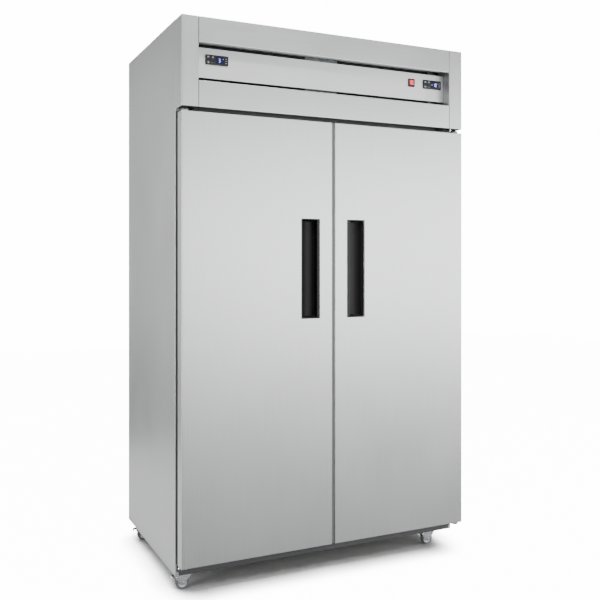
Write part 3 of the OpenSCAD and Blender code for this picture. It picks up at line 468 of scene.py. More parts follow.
# Takes the shapes of the cutters out of a piece
def cutOut(made, parts):
    points, faces = join(parts)
    mesh = bpy.data.meshes.new("cutter")
    mesh.from_pydata((points * mm).tolist(), [], faces)
    work = bmesh.new()
    work.from_mesh(mesh)
    bmesh.ops.recalc_face_normals(work, faces=work.faces)
    work.to_mesh(mesh)
    work.free()
    cutter = bpy.data.objects.new("cutter", mesh)
    bpy.context.scene.collection.objects.link(cutter)
    cut = made.modifiers.new("cut", "BOOLEAN")
    cut.object = cutter
    cut.operation = "DIFFERENCE"
    cut.solver = "EXACT"
    made.modifiers.move(made.modifiers.find("cut"), 0)
    made.modifiers["normals"].show_viewport = False
    result = bpy.data.meshes.new_from_object(made.evaluated_get(bpy.context.evaluated_depsgraph_get()))
    made.modifiers.remove(cut)
    made.modifiers["normals"].show_viewport = True
    made.data = result
    result.set_sharp_from_angle(angle=math.radians(38))
    bpy.data.objects.remove(cutter)


# A CAD node keeps its shape and takes a finish
def dress(coat, *nodes):
    for node in nodes:
        shape = frame["nodes"][node]
        if not shape.material_slots:
            shape.data.materials.append(coat)
        for holder in shape.material_slots:
            holder.material = coat


# The floor glows like the backdrop, for the camera only, and the glow fades where the object shades it
def layFloor():
    tree = floorPaint.node_tree
    shader = tree.nodes["Principled BSDF"]
    seen = addNode(tree, "ShaderNodeLightPath").outputs["Is Camera Ray"]
    openness = addNode(tree, "ShaderNodeAmbientOcclusion", {"samples": 24}, {
        "Distance": studio["shadowReach"]}).outputs["AO"]
    clear = addNode(tree, "ShaderNodeMapRange", inputs={
        "Value": openness, "From Min": 0.36, "From Max": 0.84}).outputs[0]
    faded = addNode(tree, "ShaderNodeMath", {"operation": "POWER"}, {0: clear, 1: 1.6}).outputs[0]
    lit = addNode(tree, "ShaderNodeMath", {"operation": "MULTIPLY"}, {0: seen, 1: faded}).outputs[0]
    glow = addNode(tree, "ShaderNodeMapRange", inputs={"Value": lit, "To Max": studio["floorGlow"]})
    shader.inputs["Emission Color"].default_value = toLinear("#ffffff")
    tree.links.new(glow.outputs[0], shader.inputs["Emission Strength"])
    half = studio["floorSize"] / 2
    mesh = bpy.data.meshes.new("studioFloor")
    edge = [(-half, -half, 0), (half, -half, 0), (half, half, 0), (-half, half, 0)]
    mesh.from_pydata(edge, [], [(0, 1, 2, 3)])
    mesh.materials.append(floorPaint)
    floor = bpy.data.objects.new("studioFloor", mesh)
    bpy.context.scene.collection.objects.link(floor)


layFloor()


shellForm = dict(sheet=1.2, fold=2.2, hem=9, bead=1.0, beadHalfWidth=9, beads=7, beadEnd=70, rivet=3.5,
                 mullionHalf=48, tubRound=16)


# Side panel: its plan (x, y) is a C with eased folds, carried up the height, and the top has a return
def makeSidePanel(side):
    node = f"side_panel_{side}"
    low, high = span(node)
    outer, inner = (low[0], high[0]) if side == "left" else (high[0], low[0])
    hem = shellForm["hem"]
    plan = [(inner, low[1] + hem), (inner, low[1]), (outer, low[1]), (outer, high[1]), (inner, high[1]),
            (inner, high[1] - hem)]
    wall = folded(eased(plan, shellForm["fold"]), 2, low[2], high[2] - 0.01)
    top = high[2] - shellForm["sheet"] - 0.01
    rim = folded([(outer, top), (inner, top)], 1, low[1] + 3, high[1] - 3)
    piece(f"sidePanel_{side}", [wall, rim], brushedUpright, "cabinet", [node],
          wall=shellForm["sheet"], core=(0, 0, 1000))


# Back panel: a flat sheet with level swages pressed in, each a cosine ridge that fades at its ends
def makeBackPanel():
    low, high = span("back_panel")
    x = np.linspace(low[0], high[0], 90)
    z = np.linspace(low[2], high[2], 300)
    pitch = (high[2] - low[2]) / shellForm["beads"]
    fromBead = np.abs((z - low[2]) % pitch - pitch / 2)
    ridge = np.cos(np.clip(fromBead / shellForm["beadHalfWidth"], 0, 1) * np.pi / 2) ** 2
    fade = np.clip((high[0] - shellForm["beadEnd"] - np.abs(x)) / 20, 0, 1)
    points = np.zeros((len(z), len(x), 3))
    points[..., 0] = x
    points[..., 1] = high[1] - shellForm["bead"] * ridge[:, None] * fade
    points[..., 2] = z[:, None]
    r = shellForm["rivet"]
    rivets = [slab((cx - r, cx + r, cz - r, cz + r), high[1] - 2, high[1] - 0.2, r=3.4, edge=1.2)
              for cx in (low[0] + 14, high[0] - 14) for cz in np.linspace(low[2] + 40, high[2] - 40, 9)]
    piece("backPanel", [grid(points)], galvanised, "cabinet", ["back_panel"],
          wall=0.8, core=(0, 0, midHeight))
    piece("backRivets", rivets, zincPlate, "cabinet")


# Lining of a section: a deep tub with round corners, seen from its open front
def makeTub(side):
    low, high = span("liners")
    mullion = shellForm["mullionHalf"]
    half = (low[0] + 0.6, -mullion) if side == "left" else (mullion, high[0] - 0.6)
    inside = (half[0], half[1], low[2] + 0.6, high[2] - 0.6)
    r = shellForm["tubRound"]
    back = [(inset(inside, r * (1 - math.cos(t))), r, high[1] - 0.8 - r * (1 - math.sin(t)))
            for t in np.linspace(0, np.pi / 2, 5)]
    stages = [(inside, r, low[1])] + back
    piece(f"tub_{side}", [loft(stages, 6, capLast=True)], stucco, "cabinet",
          once("liners", side == "left"), wall=0.5, core=(0, far, midHeight))


for side in sides:
    makeSidePanel(side)
    makeTub(side)
makeBackPanel()
dress(galvanised, "base_panel", "machine_deck")
dress(foamed, "insulation")
# Face frame in dark grey: painted shade for the door gaps and the bottom rail
dress(shadeDarkGrey, "front_frame")
dress(satinStainless, "control_panel")
print("cabinet shell made")


headerForm = dict(sheet=1.2, fold=3.4, corner=2.0, foot=14, endReturn=24, upperSlot=7.5, lowerSlot=19,
                  inward=27)


# End cap: a pan with eased folds that faces forward
def makeHeaderEnd(side):
    node = f"header_end_{side}"
    low, high = span(node)
    outline = (low[0], high[0], low[2], high[2])
    stages = [(outline, headerForm["corner"], high[1])]
    stages += foldStages(outline, headerForm["corner"], low[1], headerForm["fold"])
    cap = piece(f"headerEnd_{side}", [loft(stages, 4, capLast=True)], brushedUpright, "cabinet",
                [node], wall=headerForm["sheet"], core=(0, far, 1900))
    x0, x1, y0, y1 = low[0] + 1.6, high[0] - 1.6, low[1] + headerForm["foot"], high[1] + 1
    cutOut(cap, [plank([(x0, y0), (x1, y0), (x1, y1), (x0, y1)], 2, low[2] - 1, low[2] + 3)])


# Upper and lower panels: each a channel whose (y, z) profile runs from its inner return over the face
def makeHeaderPanels():
    low, high = span("header_panels")
    panel = span("control_panel")
    slotTop = panel[1][2] + headerForm["upperSlot"]
    slotFoot = panel[0][2] - headerForm["lowerSlot"]
    foot = low[1] + headerForm["foot"]
    profiles = [
        [(foot, slotTop), (low[1], slotTop), (low[1], high[2]), (high[1], high[2])],
        [(foot, low[2]), (low[1], low[2]), (low[1], slotFoot), (low[1] + headerForm["inward"], slotFoot)],
    ]
    parts = [folded(eased(profile, headerForm["fold"]), 0, low[0], high[0]) for profile in profiles]
    middles = [(slotTop + high[2]) / 2, (low[2] + slotFoot) / 2]
    for name, part, middle in zip(("headerPanelUpper", "headerPanelLower"), parts, middles):
        piece(name, [part], brushedLevel, "cabinet", once("header_panels", part is parts[0]),
              wall=headerForm["sheet"], core=(0, 0, middle))
    y0, y1 = low[1] + 1.3, low[1] + headerForm["endReturn"]
    sheet = headerForm["sheet"]
    flaps = [plank([(y0, z0), (y1, z0), (y1, z1), (y0, z1)], 0, x, x + sheet)
             for x in (low[0] + 0.1, high[0] - 0.1 - sheet)
             for z0, z1 in ((low[2] + 1.4, slotFoot - 1.4), (slotTop + 1.4, high[2] - 1.4))]
    piece("headerPanelFlaps", flaps, brushedLevel, "cabinet")


for side in sides:
    makeHeaderEnd(side)
makeHeaderPanels()
print("header made")


controllerForm = dict(
    width=88, corner=4.0, edge=1.1, rim=2.6, sunk=0.6, keyGap=0.3, window=(34, 26), windowShift=11.5,
    digit=(6.0, 13), bar=1.5, gap=3.2, shown=dict(left="3", right="-18"),
)
# Bars of a seven-bar digit: middle (x, z) in half widths and half heights, and whether the bar is level
digitBars = dict(a=(0, 1, True), b=(1, 0.5, False), c=(1, -0.5, False), d=(0, -1, True), e=(-1, -0.5, False),
                 f=(-1, 0.5, False), g=(0, 0, True))
digitShapes = {"-": "g", "1": "bc", "3": "abcdg", "8": "abcdefg"}


def digitParts(text, x, z, y):
    width, height = controllerForm["digit"]
    bar = controllerForm["bar"]
    parts = []
    for place, sign in enumerate(text):
        cx = x + (place - (len(text) - 1) / 2) * (width + controllerForm["gap"])
        for mark in digitShapes[sign]:
            bx, bz, level = digitBars[mark]
            mx, mz = cx + bx * width / 2, z + bz * height / 2
            halfX = width / 2 - bar * 0.6 if level else bar / 2
            halfZ = bar / 2 if level else height / 4 - bar * 0.6
            parts.append(slab((mx - halfX, mx + halfX, mz - halfZ, mz + halfZ), y, y + 0.3, r=0.4, edge=0.1))
    return parts


# Digital controller: bezel with a sunk fascia, a window with lit digits, and printed marks
def makeController(side):
    low, high = span("controller_cases")
    halfWidth = controllerForm["width"] / 2
    cx = low[0] + halfWidth if side == "left" else high[0] - halfWidth
    cz = (low[2] + high[2]) / 2
    panelY = span("control_panel")[0][1]
    outline = (cx - halfWidth, cx + halfWidth, low[2], high[2])
    r = controllerForm["corner"]
    rim = controllerForm["rim"]
    fascia = low[1] + controllerForm["sunk"]
    stages = [(inset(outline, 0.2), r, panelY)] + foldStages(outline, r, low[1], controllerForm["edge"], 3)
    stages += [(inset(outline, rim), r - 1, low[1]), (inset(outline, rim + 0.5), r - 1, fascia)]
    bezel = loft(stages, 5, capFirst=True, capLast=True)
    x0, x1, z0, z1 = inset(outline, 3.5)
    body = slab((x0 + 2.5, x1 - 2.5, z0, z1), panelY, high[1], r=2)
    case = piece(f"controllerCase_{side}", [bezel], blackGloss, "cabinet",
                 once("controller_cases", side == "left"))
    pockets = []
    for key in ("set", "defrost", "down"):
        keyLow, keyHigh = span(f"key_{side}_{key}")
        cap = (keyLow[0], keyHigh[0], keyLow[2], keyHigh[2])
        pocket = inset(cap, -controllerForm["keyGap"])
        pockets.append(slab(pocket, fascia - 2, keyHigh[1] + 1.2, r=1.4, edge=0.1))
        cover = foldStages(cap, 1.5, keyLow[1], 0.9, 3)
        dome = loft([(cap, 1.5, keyHigh[1])] + cover, 5, capFirst=True, capLast=True)
        piece(f"key_{side}_{key}_cap", [dome], keyCaps, f"{side}_{key}_key",
              [f"key_{side}_{key}"])
    cutOut(case, pockets)
    piece(f"controllerBody_{side}", [body], blackAbs, "cabinet")
    wx = cx + controllerForm["windowShift"]
    w, h = controllerForm["window"]
    glass = slab((wx - w / 2, wx + w / 2, cz - h / 2, cz + h / 2), fascia - 0.25, fascia + 0.3, r=1.5,
                 edge=0.2)
    piece(f"displayWindow_{side}", [glass], smokedAcrylic, "cabinet",
          once("display_windows", side == "left"))
    digits = digitParts(controllerForm["shown"][side], wx - 3, cz, fascia - 0.4)
    dot = slab((wx + 11, wx + 13, cz + 5, cz + 7), fascia - 0.4, fascia - 0.1, r=0.9, edge=0.1)
    piece(f"displayDigits_{side}", digits + [dot], litSegment, "cabinet")
    inked = [((cx + 32.5, cx + 37.5, cz + z - 0.7, cz + z + 0.7), 0.6) for z in (-8, 0, 8)]
    inked += [((cx + x - 2, cx + x + 2, cz - 10.4, cz - 9.6), 0.3) for x in (-20, -13)]
    marks = [slab(box, fascia - 0.12, fascia + 0.1, r=round, edge=0.05) for box, round in inked]
    piece(f"printedMarks_{side}", marks, printedInk, "cabinet")


switchForm = dict(pocket=(9.6, 12.8), edge=0.9, rest=12, hub=5.0, reach=11, pad=9.2)


# Power switch: a bezel round a pocket, and a rocker whose (y, z) profile is a shallow V with round ends
def makeSwitch():
    low, high = span("switch_housing")
    panelY = span("control_panel")[0][1]
    outline = (low[0], high[0], low[2], high[2])
    cx, cz = (low[0] + high[0]) / 2, (low[2] + high[2]) / 2
    w, h = switchForm["pocket"]
    pocket = (cx - w, cx + w, cz - h, cz + h)
    stages = [(inset(outline, 0.2), 2, panelY)] + foldStages(outline, 2, low[1], switchForm["edge"], 3)
    stages += [(pocket, 1.2, low[1]), (pocket, 1.2, panelY + 7)]
    body = slab(inset(outline, 1.6), panelY + 7, high[1], r=1.5)
    piece("switchHousing", [loft(stages, 4, capFirst=True, capLast=True), body], blackGloss, "cabinet",
          ["switch_housing"])
    pivot = np.array([cx, jointAt["power_rocker_tilt"][1], cz])
    rise = switchForm["hub"] + switchForm["reach"] * math.tan(math.radians(switchForm["rest"]))
    reach = switchForm["reach"]
    outlineYz = eased([(1.5, 0), (1.5, 7.5), (-2.5, reach), (-rise, reach), (-switchForm["hub"], 0),
                       (-rise, -reach), (-2.5, -reach), (1.5, -7.5), (1.5, 0)], 1.4, 4)[:-1]
    across = np.array([-1, -0.97, -0.9, 0.9, 0.97, 1]) * switchForm["pad"]
    shrink = np.array([0.94, 0.98, 1, 1, 0.98, 0.94])
    points = np.stack([np.column_stack([np.full(len(outlineYz), x), outlineYz * s])
                       for x, s in zip(across, shrink)])
    rocker = grid(points, wrapColumns=True, capFirst=True, capLast=True)
    rocker = rotated(moved(rocker, pivot), 0, -switchForm["rest"], pivot)
    half = [(0, -11), (1.7, -11), (2, -10.6)]
    pin = turned(half + reflected(half), pivot, 0, 20)
    piece("powerRocker", [rocker, pin], redRocker, "power_rocker", ["switch_rocker"])


for side in sides:
    makeController(side)
makeSwitch()
print("controls made")


doorForm = dict(fold=3.2, corner=2.2, hem=1.2, lip=14, sheet=0.9, holeTurn=5, holeInset=4.0, linerDepth=13)


def doorOutline(side):
    low, high = span(f"door_skin_{side}")
    return (low[0], high[0], low[2], high[2]), low[1], high[1]


# Door pan, from the lip at the back over the edge, round the fold and over the face to the handle's opening
def makeDoorSkin(side):
    outline, face, back = doorOutline(side)
    low, high = span(f"handle_{side}")
    hole = inset((low[0], high[0], low[2], high[2]), doorForm["holeInset"])
    r = doorForm["corner"]
    hem = foldStages(outline, r, back, doorForm["hem"], 3, -1)[::-1]
    stages = [(inset(outline, doorForm["lip"]), r, back)] + hem
    stages += foldStages(outline, r, face, doorForm["fold"], 5)
    stages += [(hole, 2.5, face), (inset(hole, 0.3), 2.5, face + 0.4),
               (inset(hole, 0.3), 2.5, face + doorForm["holeTurn"])]
    piece(f"doorSkin_{side}", [loft(stages, 4)], brushedUpright, f"door_{side}",
          [f"door_skin_{side}"], wall=doorForm["sheet"], core=(0, far, midHeight))


# Formed inner panel: margin, groove for the seal, a raised middle with a sunk field
def makeDoorLiner(side):
    outline, _, back = doorOutline(side)
    y1 = back + doorForm["linerDepth"]
    top = span(f"door_liner_{side}")[1][1]
    plan = [(6, 8, back), (6, 8, y1 - 2.5), (6.8, 8, y1 - 0.7), (8.5, 8, y1), (42, 6, y1), (44, 8, y1 + 0.6),
            (46, 10, y1 + 3.5), (47.5, 12, top - 1.4), (50, 13, top), (86, 16, top), (88, 16, top - 0.6),
            (92, 16, top - 3.4), (95, 16, top - 4)]
    stages = [(inset(outline, d), r, y) for d, r, y in plan]
    field = inset(outline, 95)
    ribs = [slab((field[0] + 40, field[1] - 40, z - 5, z + 5), top - 6, top - 1.4, r=4.8, edge=1.8, steps=3)
            for z in np.linspace(field[2] + 180, field[3] - 180, 5)]
    piece(f"doorLiner_{side}", [loft(stages, 6, capLast=True)], linerAbs, f"door_{side}",
          [f"door_liner_{side}"], wall=1.5, core=(0, -far, midHeight))
    piece(f"doorLinerRibs_{side}", ribs, linerAbs, f"door_{side}")


gasketMiddle = 29  # inset of the seal's middle line from the door's edge, about which its section is even


# Seal: its section (inset, y) has a foot, two bellows folds and the magnet pocket, carried round the door
def makeGasket(side):
    outline = doorOutline(side)[0]
    foot, tip = (corner[1] for corner in span("door_gasket_right"))
    half = [(20.4, foot), (20.2, foot + 3), (22.5, foot + 4), (26.5, foot + 4.4), (23.4, foot + 6.2),
            (23.4, foot + 7.4), (26, foot + 9), (22, foot + 11.4), (21.2, foot + 12.6), (21.2, tip - 1),
            (22.2, tip)]
    section = half + [(2 * gasketMiddle - d, y) for d, y in reversed(half)]
    stages = [(inset(outline, d), 1.5, y) for d, y in section]
    piece(f"gasket_{side}", [loft(stages, 3, wrapRows=True)], sealPvc, f"door_{side}",
          [f"door_gasket_{side}"])


# Meeting strip: a soft grey profile that stands on the left door's edge, behind the faces, and fills the gap
def makeMeetingStrip():
    low, high = span("door_gasket_left")
    edge = span("door_skin_left")[1][0]
    strip = slab((edge + 0.05, high[0], low[2], high[2]), low[1], low[1] + 30, r=2, edge=1.6, steps=3)
    piece("meetingStrip", [strip], greyPvc, "door_left")


handleForm = dict(bezel=4.0, edge=0.8, wall=2.4, lip=8, lipThick=3.4, scoop=34, taper=5, steps=9)


# Recessed pull. Behind the bezel the cup's section is a quarter ellipse: the wall away from the lip sweeps in
# by scoop while it goes down, and the wall behind the lip stays upright so that fingers hook round it.
def makeHandle(side):
    low, high = span(f"handle_{side}")
    outline = (low[0], high[0], low[2], high[2])
    front, floor = low[1], high[1] - handleForm["wall"]
    doorFace = doorOutline(side)[1]
    e, b = handleForm["edge"], handleForm["bezel"]
    r = 1.8
    lipOn = 1 if side == "left" else -1

    # Rectangle whose lip side is drawn in by lipIn and whose other three sides are drawn in by d
    def shaped(d, lipIn, scoopIn=0.0):
        x0, x1, z0, z1 = inset(outline, d)
        if lipOn > 0:
            return x0 + scoopIn, x1 - lipIn, z0, z1
        return x0 + lipIn, x1 - scoopIn, z0, z1

    stages = [(outline, r, doorFace)] + foldStages(outline, r, front, e, 3)
    stages += [(shaped(b - e, handleForm["lip"] - 0.4), 1.5, front),
               (shaped(b, handleForm["lip"]), 1.5, front + e),
               (shaped(b, handleForm["lip"]), 1.5, front + handleForm["lipThick"]),
               (shaped(b, handleForm["lip"] - 1), 1.5, front + handleForm["lipThick"] + 0.6),
               (shaped(b + 0.4, 3), 1.5, front + handleForm["lipThick"] + 0.8),
               (shaped(b + 0.4, 0.6), 1.5, front + handleForm["lipThick"] + 3)]
    top = stages[-1][2]
    for t in np.linspace(0, np.pi / 2, handleForm["steps"])[1:]:
        deep = top + (floor - top) * math.sin(t)
        drawn = 1 - math.cos(t)
        stages.append((shaped(b + 0.4 + handleForm["taper"] * drawn, 0.6 + 3 * drawn,
                              handleForm["scoop"] * drawn), 1.5 + 6 * drawn, deep))
    piece(f"handleCup_{side}", [loft(stages, 5, capLast=True)], blackAbs, f"door_{side}",
          [f"handle_{side}"], wall=1.2, core=(0, far, midHeight))


for side in sides:
    makeDoorSkin(side)
    makeDoorLiner(side)
    makeGasket(side)
    makeHandle(side)
    dress(foamed, f"door_foam_{side}")
    dress(nylon, f"hinge_bushes_{side}")
makeMeetingStrip()
dress(zincPlate, "screws")
# Hinge brackets in the face frame's dark grey, which is painted shade
dress(shadeDarkGrey, "hinge_brackets")
print("doors made")


casterForm = dict(plate=62, plateT=3, plateCorner=6, race=21, trail=20, wheel=25,
                  cheekAt=11, cheekT=2.4, yokeZ=55.5, pedalShift=-44, pedalZ=47, ribs=36, spokes=6,
                  axleBore=4.06, pedalBore=2.06)


# Hexagon head or nut on an axis: turned with six sides, its rim chamfered
def hexHead(centre, axis, across, height, grow=1):
    r = across / math.sqrt(3)
    return turned([(0, 0), (r, 0), (r, grow * height * 0.75), (r * 0.88, grow * height), (0, grow * height)],
                  centre, axis, 6)


# Everything is drawn with the swivel at x = 0, y = 0, and moved to each corner
def makeCaster(corner):
    f = casterForm
    swivel = jointAt[f"swivel_{corner}"] * (1, 1, 0)
    top = span("caster_plates")[1][2]
    fork, tyre, brake = f"caster_{corner}", f"tyre_{corner}", f"brake_{corner}"
    half = f["plate"] / 2
    plate = slab((-half, half, -half, half), 0, f["plateT"], r=f["plateCorner"], edge=0.6, arc=6)
    plate = moved(reaxed(plate, "xzy"), (0, 0, top - f["plateT"]))
    low = f["yokeZ"] + 3.3
    race = turned([(0, low), (f["race"] - 4, low), (f["race"] - 2.4, low + 0.8), (f["race"] - 3.4, low + 2.4),
                   (f["race"] - 3.4, low + 4.2), (f["race"] - 1, low + 5.4), (f["race"], low + 7.4),
                   (f["race"], top - f["plateT"]), (0, top - f["plateT"])], (0, 0, 0), 2, 40)
    yokeZ = f["yokeZ"]
    king = turned([(0, low), (4, low), (4, yokeZ - 0.3), (6.5, yokeZ - 0.3), (6.5, yokeZ - 2.6),
                   (5.2, yokeZ - 3.6), (0, yokeZ - 3.6)], (0, 0, 0), 2, 24)
    piece(f"casterPlate_{corner}", [moved(plate, swivel)], zincPlate, "cabinet",
          once("caster_plates", corner == corners[0]))
    piece(f"casterRace_{corner}", [moved(race, swivel), moved(king, swivel)], oiledSteel, "cabinet")

    yoke = plank(aroundCircles([(0, 0, f["race"] + 0.9), (-26, 11.4, 2), (-26, -11.4, 2)]), 2,
                 yokeZ, yokeZ + 3)
    cheekLine = aroundCircles([(-f["trail"], f["wheel"], 9), (f["pedalShift"], f["pedalZ"], 6),
                               (-37, 55, 2.5), (8, 54, 4), (9, 52, 3)], 96)
    forkParts = [yoke]
    for side in (-1, 1):
        y0, y1 = sorted((side * f["cheekAt"], side * (f["cheekAt"] + f["cheekT"])))
        forkParts.append(plank(cheekLine, 1, y0, y1))
        outerY = side * (f["cheekAt"] + f["cheekT"])
        forkParts.append(hexHead((-f["trail"], outerY, f["wheel"]), 1, 11, 1.5, side))
        forkParts.append(turned([(0, 0), (3.6, 0), (3.6, side * 0.7), (2.4, side * 1.4), (0, side * 1.5)],
                                (f["pedalShift"], outerY, f["pedalZ"]), 1, 16))
    piece(f"casterFork_{corner}", [moved(part, swivel) for part in forkParts], zincPlate, fork,
          [f"caster_fork_{corner}"], bevel=0.5)
    pins = [rod(4, 13, (-f["trail"], 0, f["wheel"]), 20), rod(2, 12, (f["pedalShift"], 0, f["pedalZ"]), 16)]
    piece(f"casterPins_{corner}", [moved(part, swivel) for part in pins], oiledSteel, fork)

    # Tread: the tyre's radius dips in a narrow groove ribs times round, between its shoulders
    half = [(17.4, -6.4), (18.6, -8.6), (21, -9.4), (23.2, -9), (24.6, -7.4), (25, -5)]
    section = np.array(half + [(25, 0)] + reflected(half))
    t = np.linspace(0, 2 * np.pi, 144, endpoint=False)
    groove = 0.5 * (np.cos(f["ribs"] * t) > 0.4)
    tread = np.clip((section[:, :1] - 24) / 1, 0, 1)
    radius = section[:, :1] - groove * tread
    y = np.broadcast_to(section[:, 1:], radius.shape)
    points = np.stack([radius * np.sin(t), y, radius * np.cos(t)], -1)
    hub = moved(grid(points, wrapRows=True, wrapColumns=True), (-f["trail"], 0, f["wheel"]))
    piece(f"casterTyre_{corner}", [moved(hub, swivel)], tyreRubber, tyre, [f"wheel_{corner}"])
    axle = np.array((-f["trail"], 0, f["wheel"])) + swivel
    half = [(f["axleBore"], -9.8), (8, -9.8), (9, -9), (9, -5.4), (10, -4.6), (15.2, -4.6), (16.2, -5.6),
            (16.6, -7.8), (18, -8.6)]
    disc = turned(half + reflected(half) + half[:1], axle, 1, 48)
    ribs = []
    for k in range(f["spokes"]):
        for side in (-1, 1):
            y0, y1 = sorted((side * 4.2, side * 6.8))
            rib = slab((8.6, 16.4, -0.9, 0.9), y0, y1, r=0.5, edge=0.3)
            ribs.append(moved(rotated(rib, 1, 360 * k / f["spokes"]), axle))
    piece(f"casterRim_{corner}", [disc] + ribs, rimPlastic, tyre)

    # Pedal: a sheet whose side view (x, z) is a line eased at its bends, wider towards its tip
    line = eased([(5.5, -5.5), (3.5, 4.8), (-8, 5.2), (-17, 4.6), (-19, -3.4)], 2.6, 4)
    spread = np.interp(line[:, 0], [-19, -8, 5], [13.2, 12.6, 8.6])
    across = np.linspace(-1, 1, 9)
    crown = -0.7 * across ** 2
    points = np.stack([
        np.stack([np.broadcast_to(line[:, :1], (len(line), 9)), spread[:, None] * across,
                  line[:, 1:] + crown], -1)])[0]
    pivot = swivel + (f["pedalShift"], 0, f["pedalZ"])
    piece(f"brakePedal_{corner}", [moved(grid(points), pivot)], chromePlate, brake,
          [f"brake_pedal_{corner}"], wall=0.9, core=tuple(pivot + (0, 0, -60)))
    half = [(f["pedalBore"], -10.4), (4.2, -10.4)]
    eye = turned(half + reflected(half) + half[:1], pivot, 1, 24)
    shoe = moved(plank([(-4, -1), (-4, -8.5), (-2.2, -9.5), (-0.4, -9), (2, -3.5)], 1, -8, 8), pivot)
    piece(f"brakeShoe_{corner}", [eye, shoe], oiledSteel, brake)


for corner in corners:
    makeCaster(corner)
print("casters made")


unitForm = dict(
    halfWidth=230, high=236, deep=46, fins=115, rows=8, shroudDepth=42, ring=104, motor=38, motorBack=144,
    filter=(226, 111), screenPitch=7,
    guard=dict(rings=(46, 58, 70, 82, 94, 106), steps=60, wire=1.1, stand=2.2, spokes=4, first=45,
               reach=(36, 114), spokeWire=2.0, spokeStand=1.8, around=8),
)


# Blades of an axial fan about the y axis. A blade is a grid over radius and chord: it sweeps forward by
# sweep degrees towards its tip, is pitched less there, and is cambered as a shallow parabola.
def fanParts(centre, tip, hub, blades, chord, pitch, sweep, camber):
    u = np.linspace(0, 1, 9)[:, None]
    v = np.linspace(-0.5, 0.5, 9)[None, :]
    r = hub - 2 + u * (tip - hub + 2)
    width = chord * (0.75 + 0.55 * u) * (1 - 0.35 * np.clip((u - 0.85) / 0.15, 0, 1) * (2 * v) ** 2)
    lean = np.radians(pitch * (1.15 - 0.4 * u))
    angle = np.radians(sweep) * u + v * width * np.cos(lean) / r
    depth = v * width * np.sin(lean) + camber * (1 - (2 * v) ** 2)
    parts = []
    for k in range(blades):
        a = angle + 2 * np.pi * k / blades
        parts.append(grid(np.stack([r * np.cos(a), depth, r * np.sin(a)], -1) + centre))
    return parts


def makeFan(node, body, hub, bore, blades, chord, pitch, label):
    low, high = span(node)
    centre = (low + high) / 2
    tip = (high[2] - low[2]) / 2 - 1
    parts = fanParts(centre, tip, hub, blades, chord, pitch, 18, 1.6)
    piece(f"{label}Blades", parts, bladeAluminium, body, [node], wall=1.0,
          core=tuple(centre + (0, far, 0)))
    deep = min(11.0, hub * 0.5)
    boss = turned([(bore, -deep), (hub - 2, -deep), (hub, -deep + 2), (hub, deep - 1), (hub - 1, deep),
                   (bore, deep), (bore, -deep)], centre, 1, 36)
    piece(f"{label}Hub", [boss], blackAbs, body)


# Coil block: thin upright fins, copper rows through them and hairpin bends at the ends
def coilParts(x0, x1, y0, y1, z0, z1, count, rows, bend):
    at = np.linspace(x0, x1, count)
    fins = [slab((x - 0.3, x + 0.3, z0, z1), y0, y1, r=0.2, edge=0.1, steps=1, arc=2) for x in at]
    pipes = []
    pitch = (z1 - z0) / rows
    turn = np.linspace(-np.pi / 2, np.pi / 2, 7)
    for y in ((2 * y0 + y1) / 3, (y0 + 2 * y1) / 3):
        for k in range(rows):
            z = z0 + (k + 0.5) * pitch
            pipes.append(tube([(x0 - 3, y, z), (x1 + 3, y, z)], bend, 8))
        for k in range(rows - 1):
            z = z0 + (k + 1) * pitch
            end, way = (x1 + 3, 1) if k % 2 else (x0 - 3, -1)
            rise = np.sin(turn) * pitch / 2
            arch = np.column_stack([end + way * np.cos(turn) * 7, np.full(7, y), z + rise])
            pipes.append(tube(arch, bend, 8))
    return fins, pipes


# Wire guard of a fan, about the y axis: closed rings, and straight spokes between two radii
def guardParts(cx, cz, y, g):
    a = np.linspace(0, 2 * np.pi, g["steps"], endpoint=False)
    level = np.full(g["steps"], y + g["stand"])
    parts = [tube(np.column_stack([cx + r * np.cos(a), level, cz + r * np.sin(a)]), g["wire"], 6, True)
             for r in g["rings"]]
    for k in range(g["spokes"]):
        turn = math.radians(g["first"] + 360 * k / g["spokes"])
        ends = [(cx + r * math.cos(turn), y + g["spokeStand"], cz + r * math.sin(turn)) for r in g["reach"]]
        parts.append(tube(ends, g["spokeWire"], g["around"]))
    return parts


# Stages of a round mouth of radius r whose lip flares as a quarter circle from y, with a throat to end
def mouthStages(cx, cz, r, flare, y, end):
    circle = (cx - r, cx + r, cz - r, cz + r)
    way = 1 if end > y else -1
    stages = []
    for t in np.linspace(0, np.pi / 2, 5):
        grow = flare * (1 - math.sin(t))
        stages.append((inset(circle, -grow), r + grow - 0.1, y + way * flare * (1 - math.cos(t))))
    return stages + [(circle, r - 0.1, end)]


# Dust filter: a foam pad in a folded frame, behind a screen whose upright wires weave over and under the
# level ones as a cosine
def makeFilter(side, cx, cz, y):
    w, h = unitForm["filter"]
    pitch = unitForm["screenPitch"]
    outline = (cx - w, cx + w, cz - h, cz + h)
    pad = slab(inset(outline, 3), y + 2.4, y + 6.4, r=2, edge=1)
    piece(f"filterFoam_{side}", [pad], filterFoam, "cabinet")
    rim = loft([(inset(outline, d), 2, y + deep) for d, deep in ((0, 6.5), (0, 0.6), (0.6, 0), (4.4, 0),
                                                                (5, 0.6), (5, 6.5))], 4, wrapRows=True)
    piece(f"filterFrame_{side}", [rim], galvanised, "cabinet")
    levels = np.arange(-h + pitch, h, pitch)
    across = np.arange(-w + pitch, w, pitch)
    wires = [tube([(cx - w + 4, y + 1.4, cz + z), (cx + w - 4, y + 1.4, cz + z)], 0.5, 5) for z in levels]
    z = np.arange(-h + 4, h - 3, pitch / 2)
    for k, x in enumerate(across):
        weave = 0.55 * np.cos(np.pi * (z - levels[0]) / pitch + np.pi * k)
        wires.append(tube(np.column_stack([np.full(len(z), cx + x), y + 1.4 + weave, cz + z]), 0.45, 5))
    piece(f"filterScreen_{side}", wires, screenWire, "cabinet")


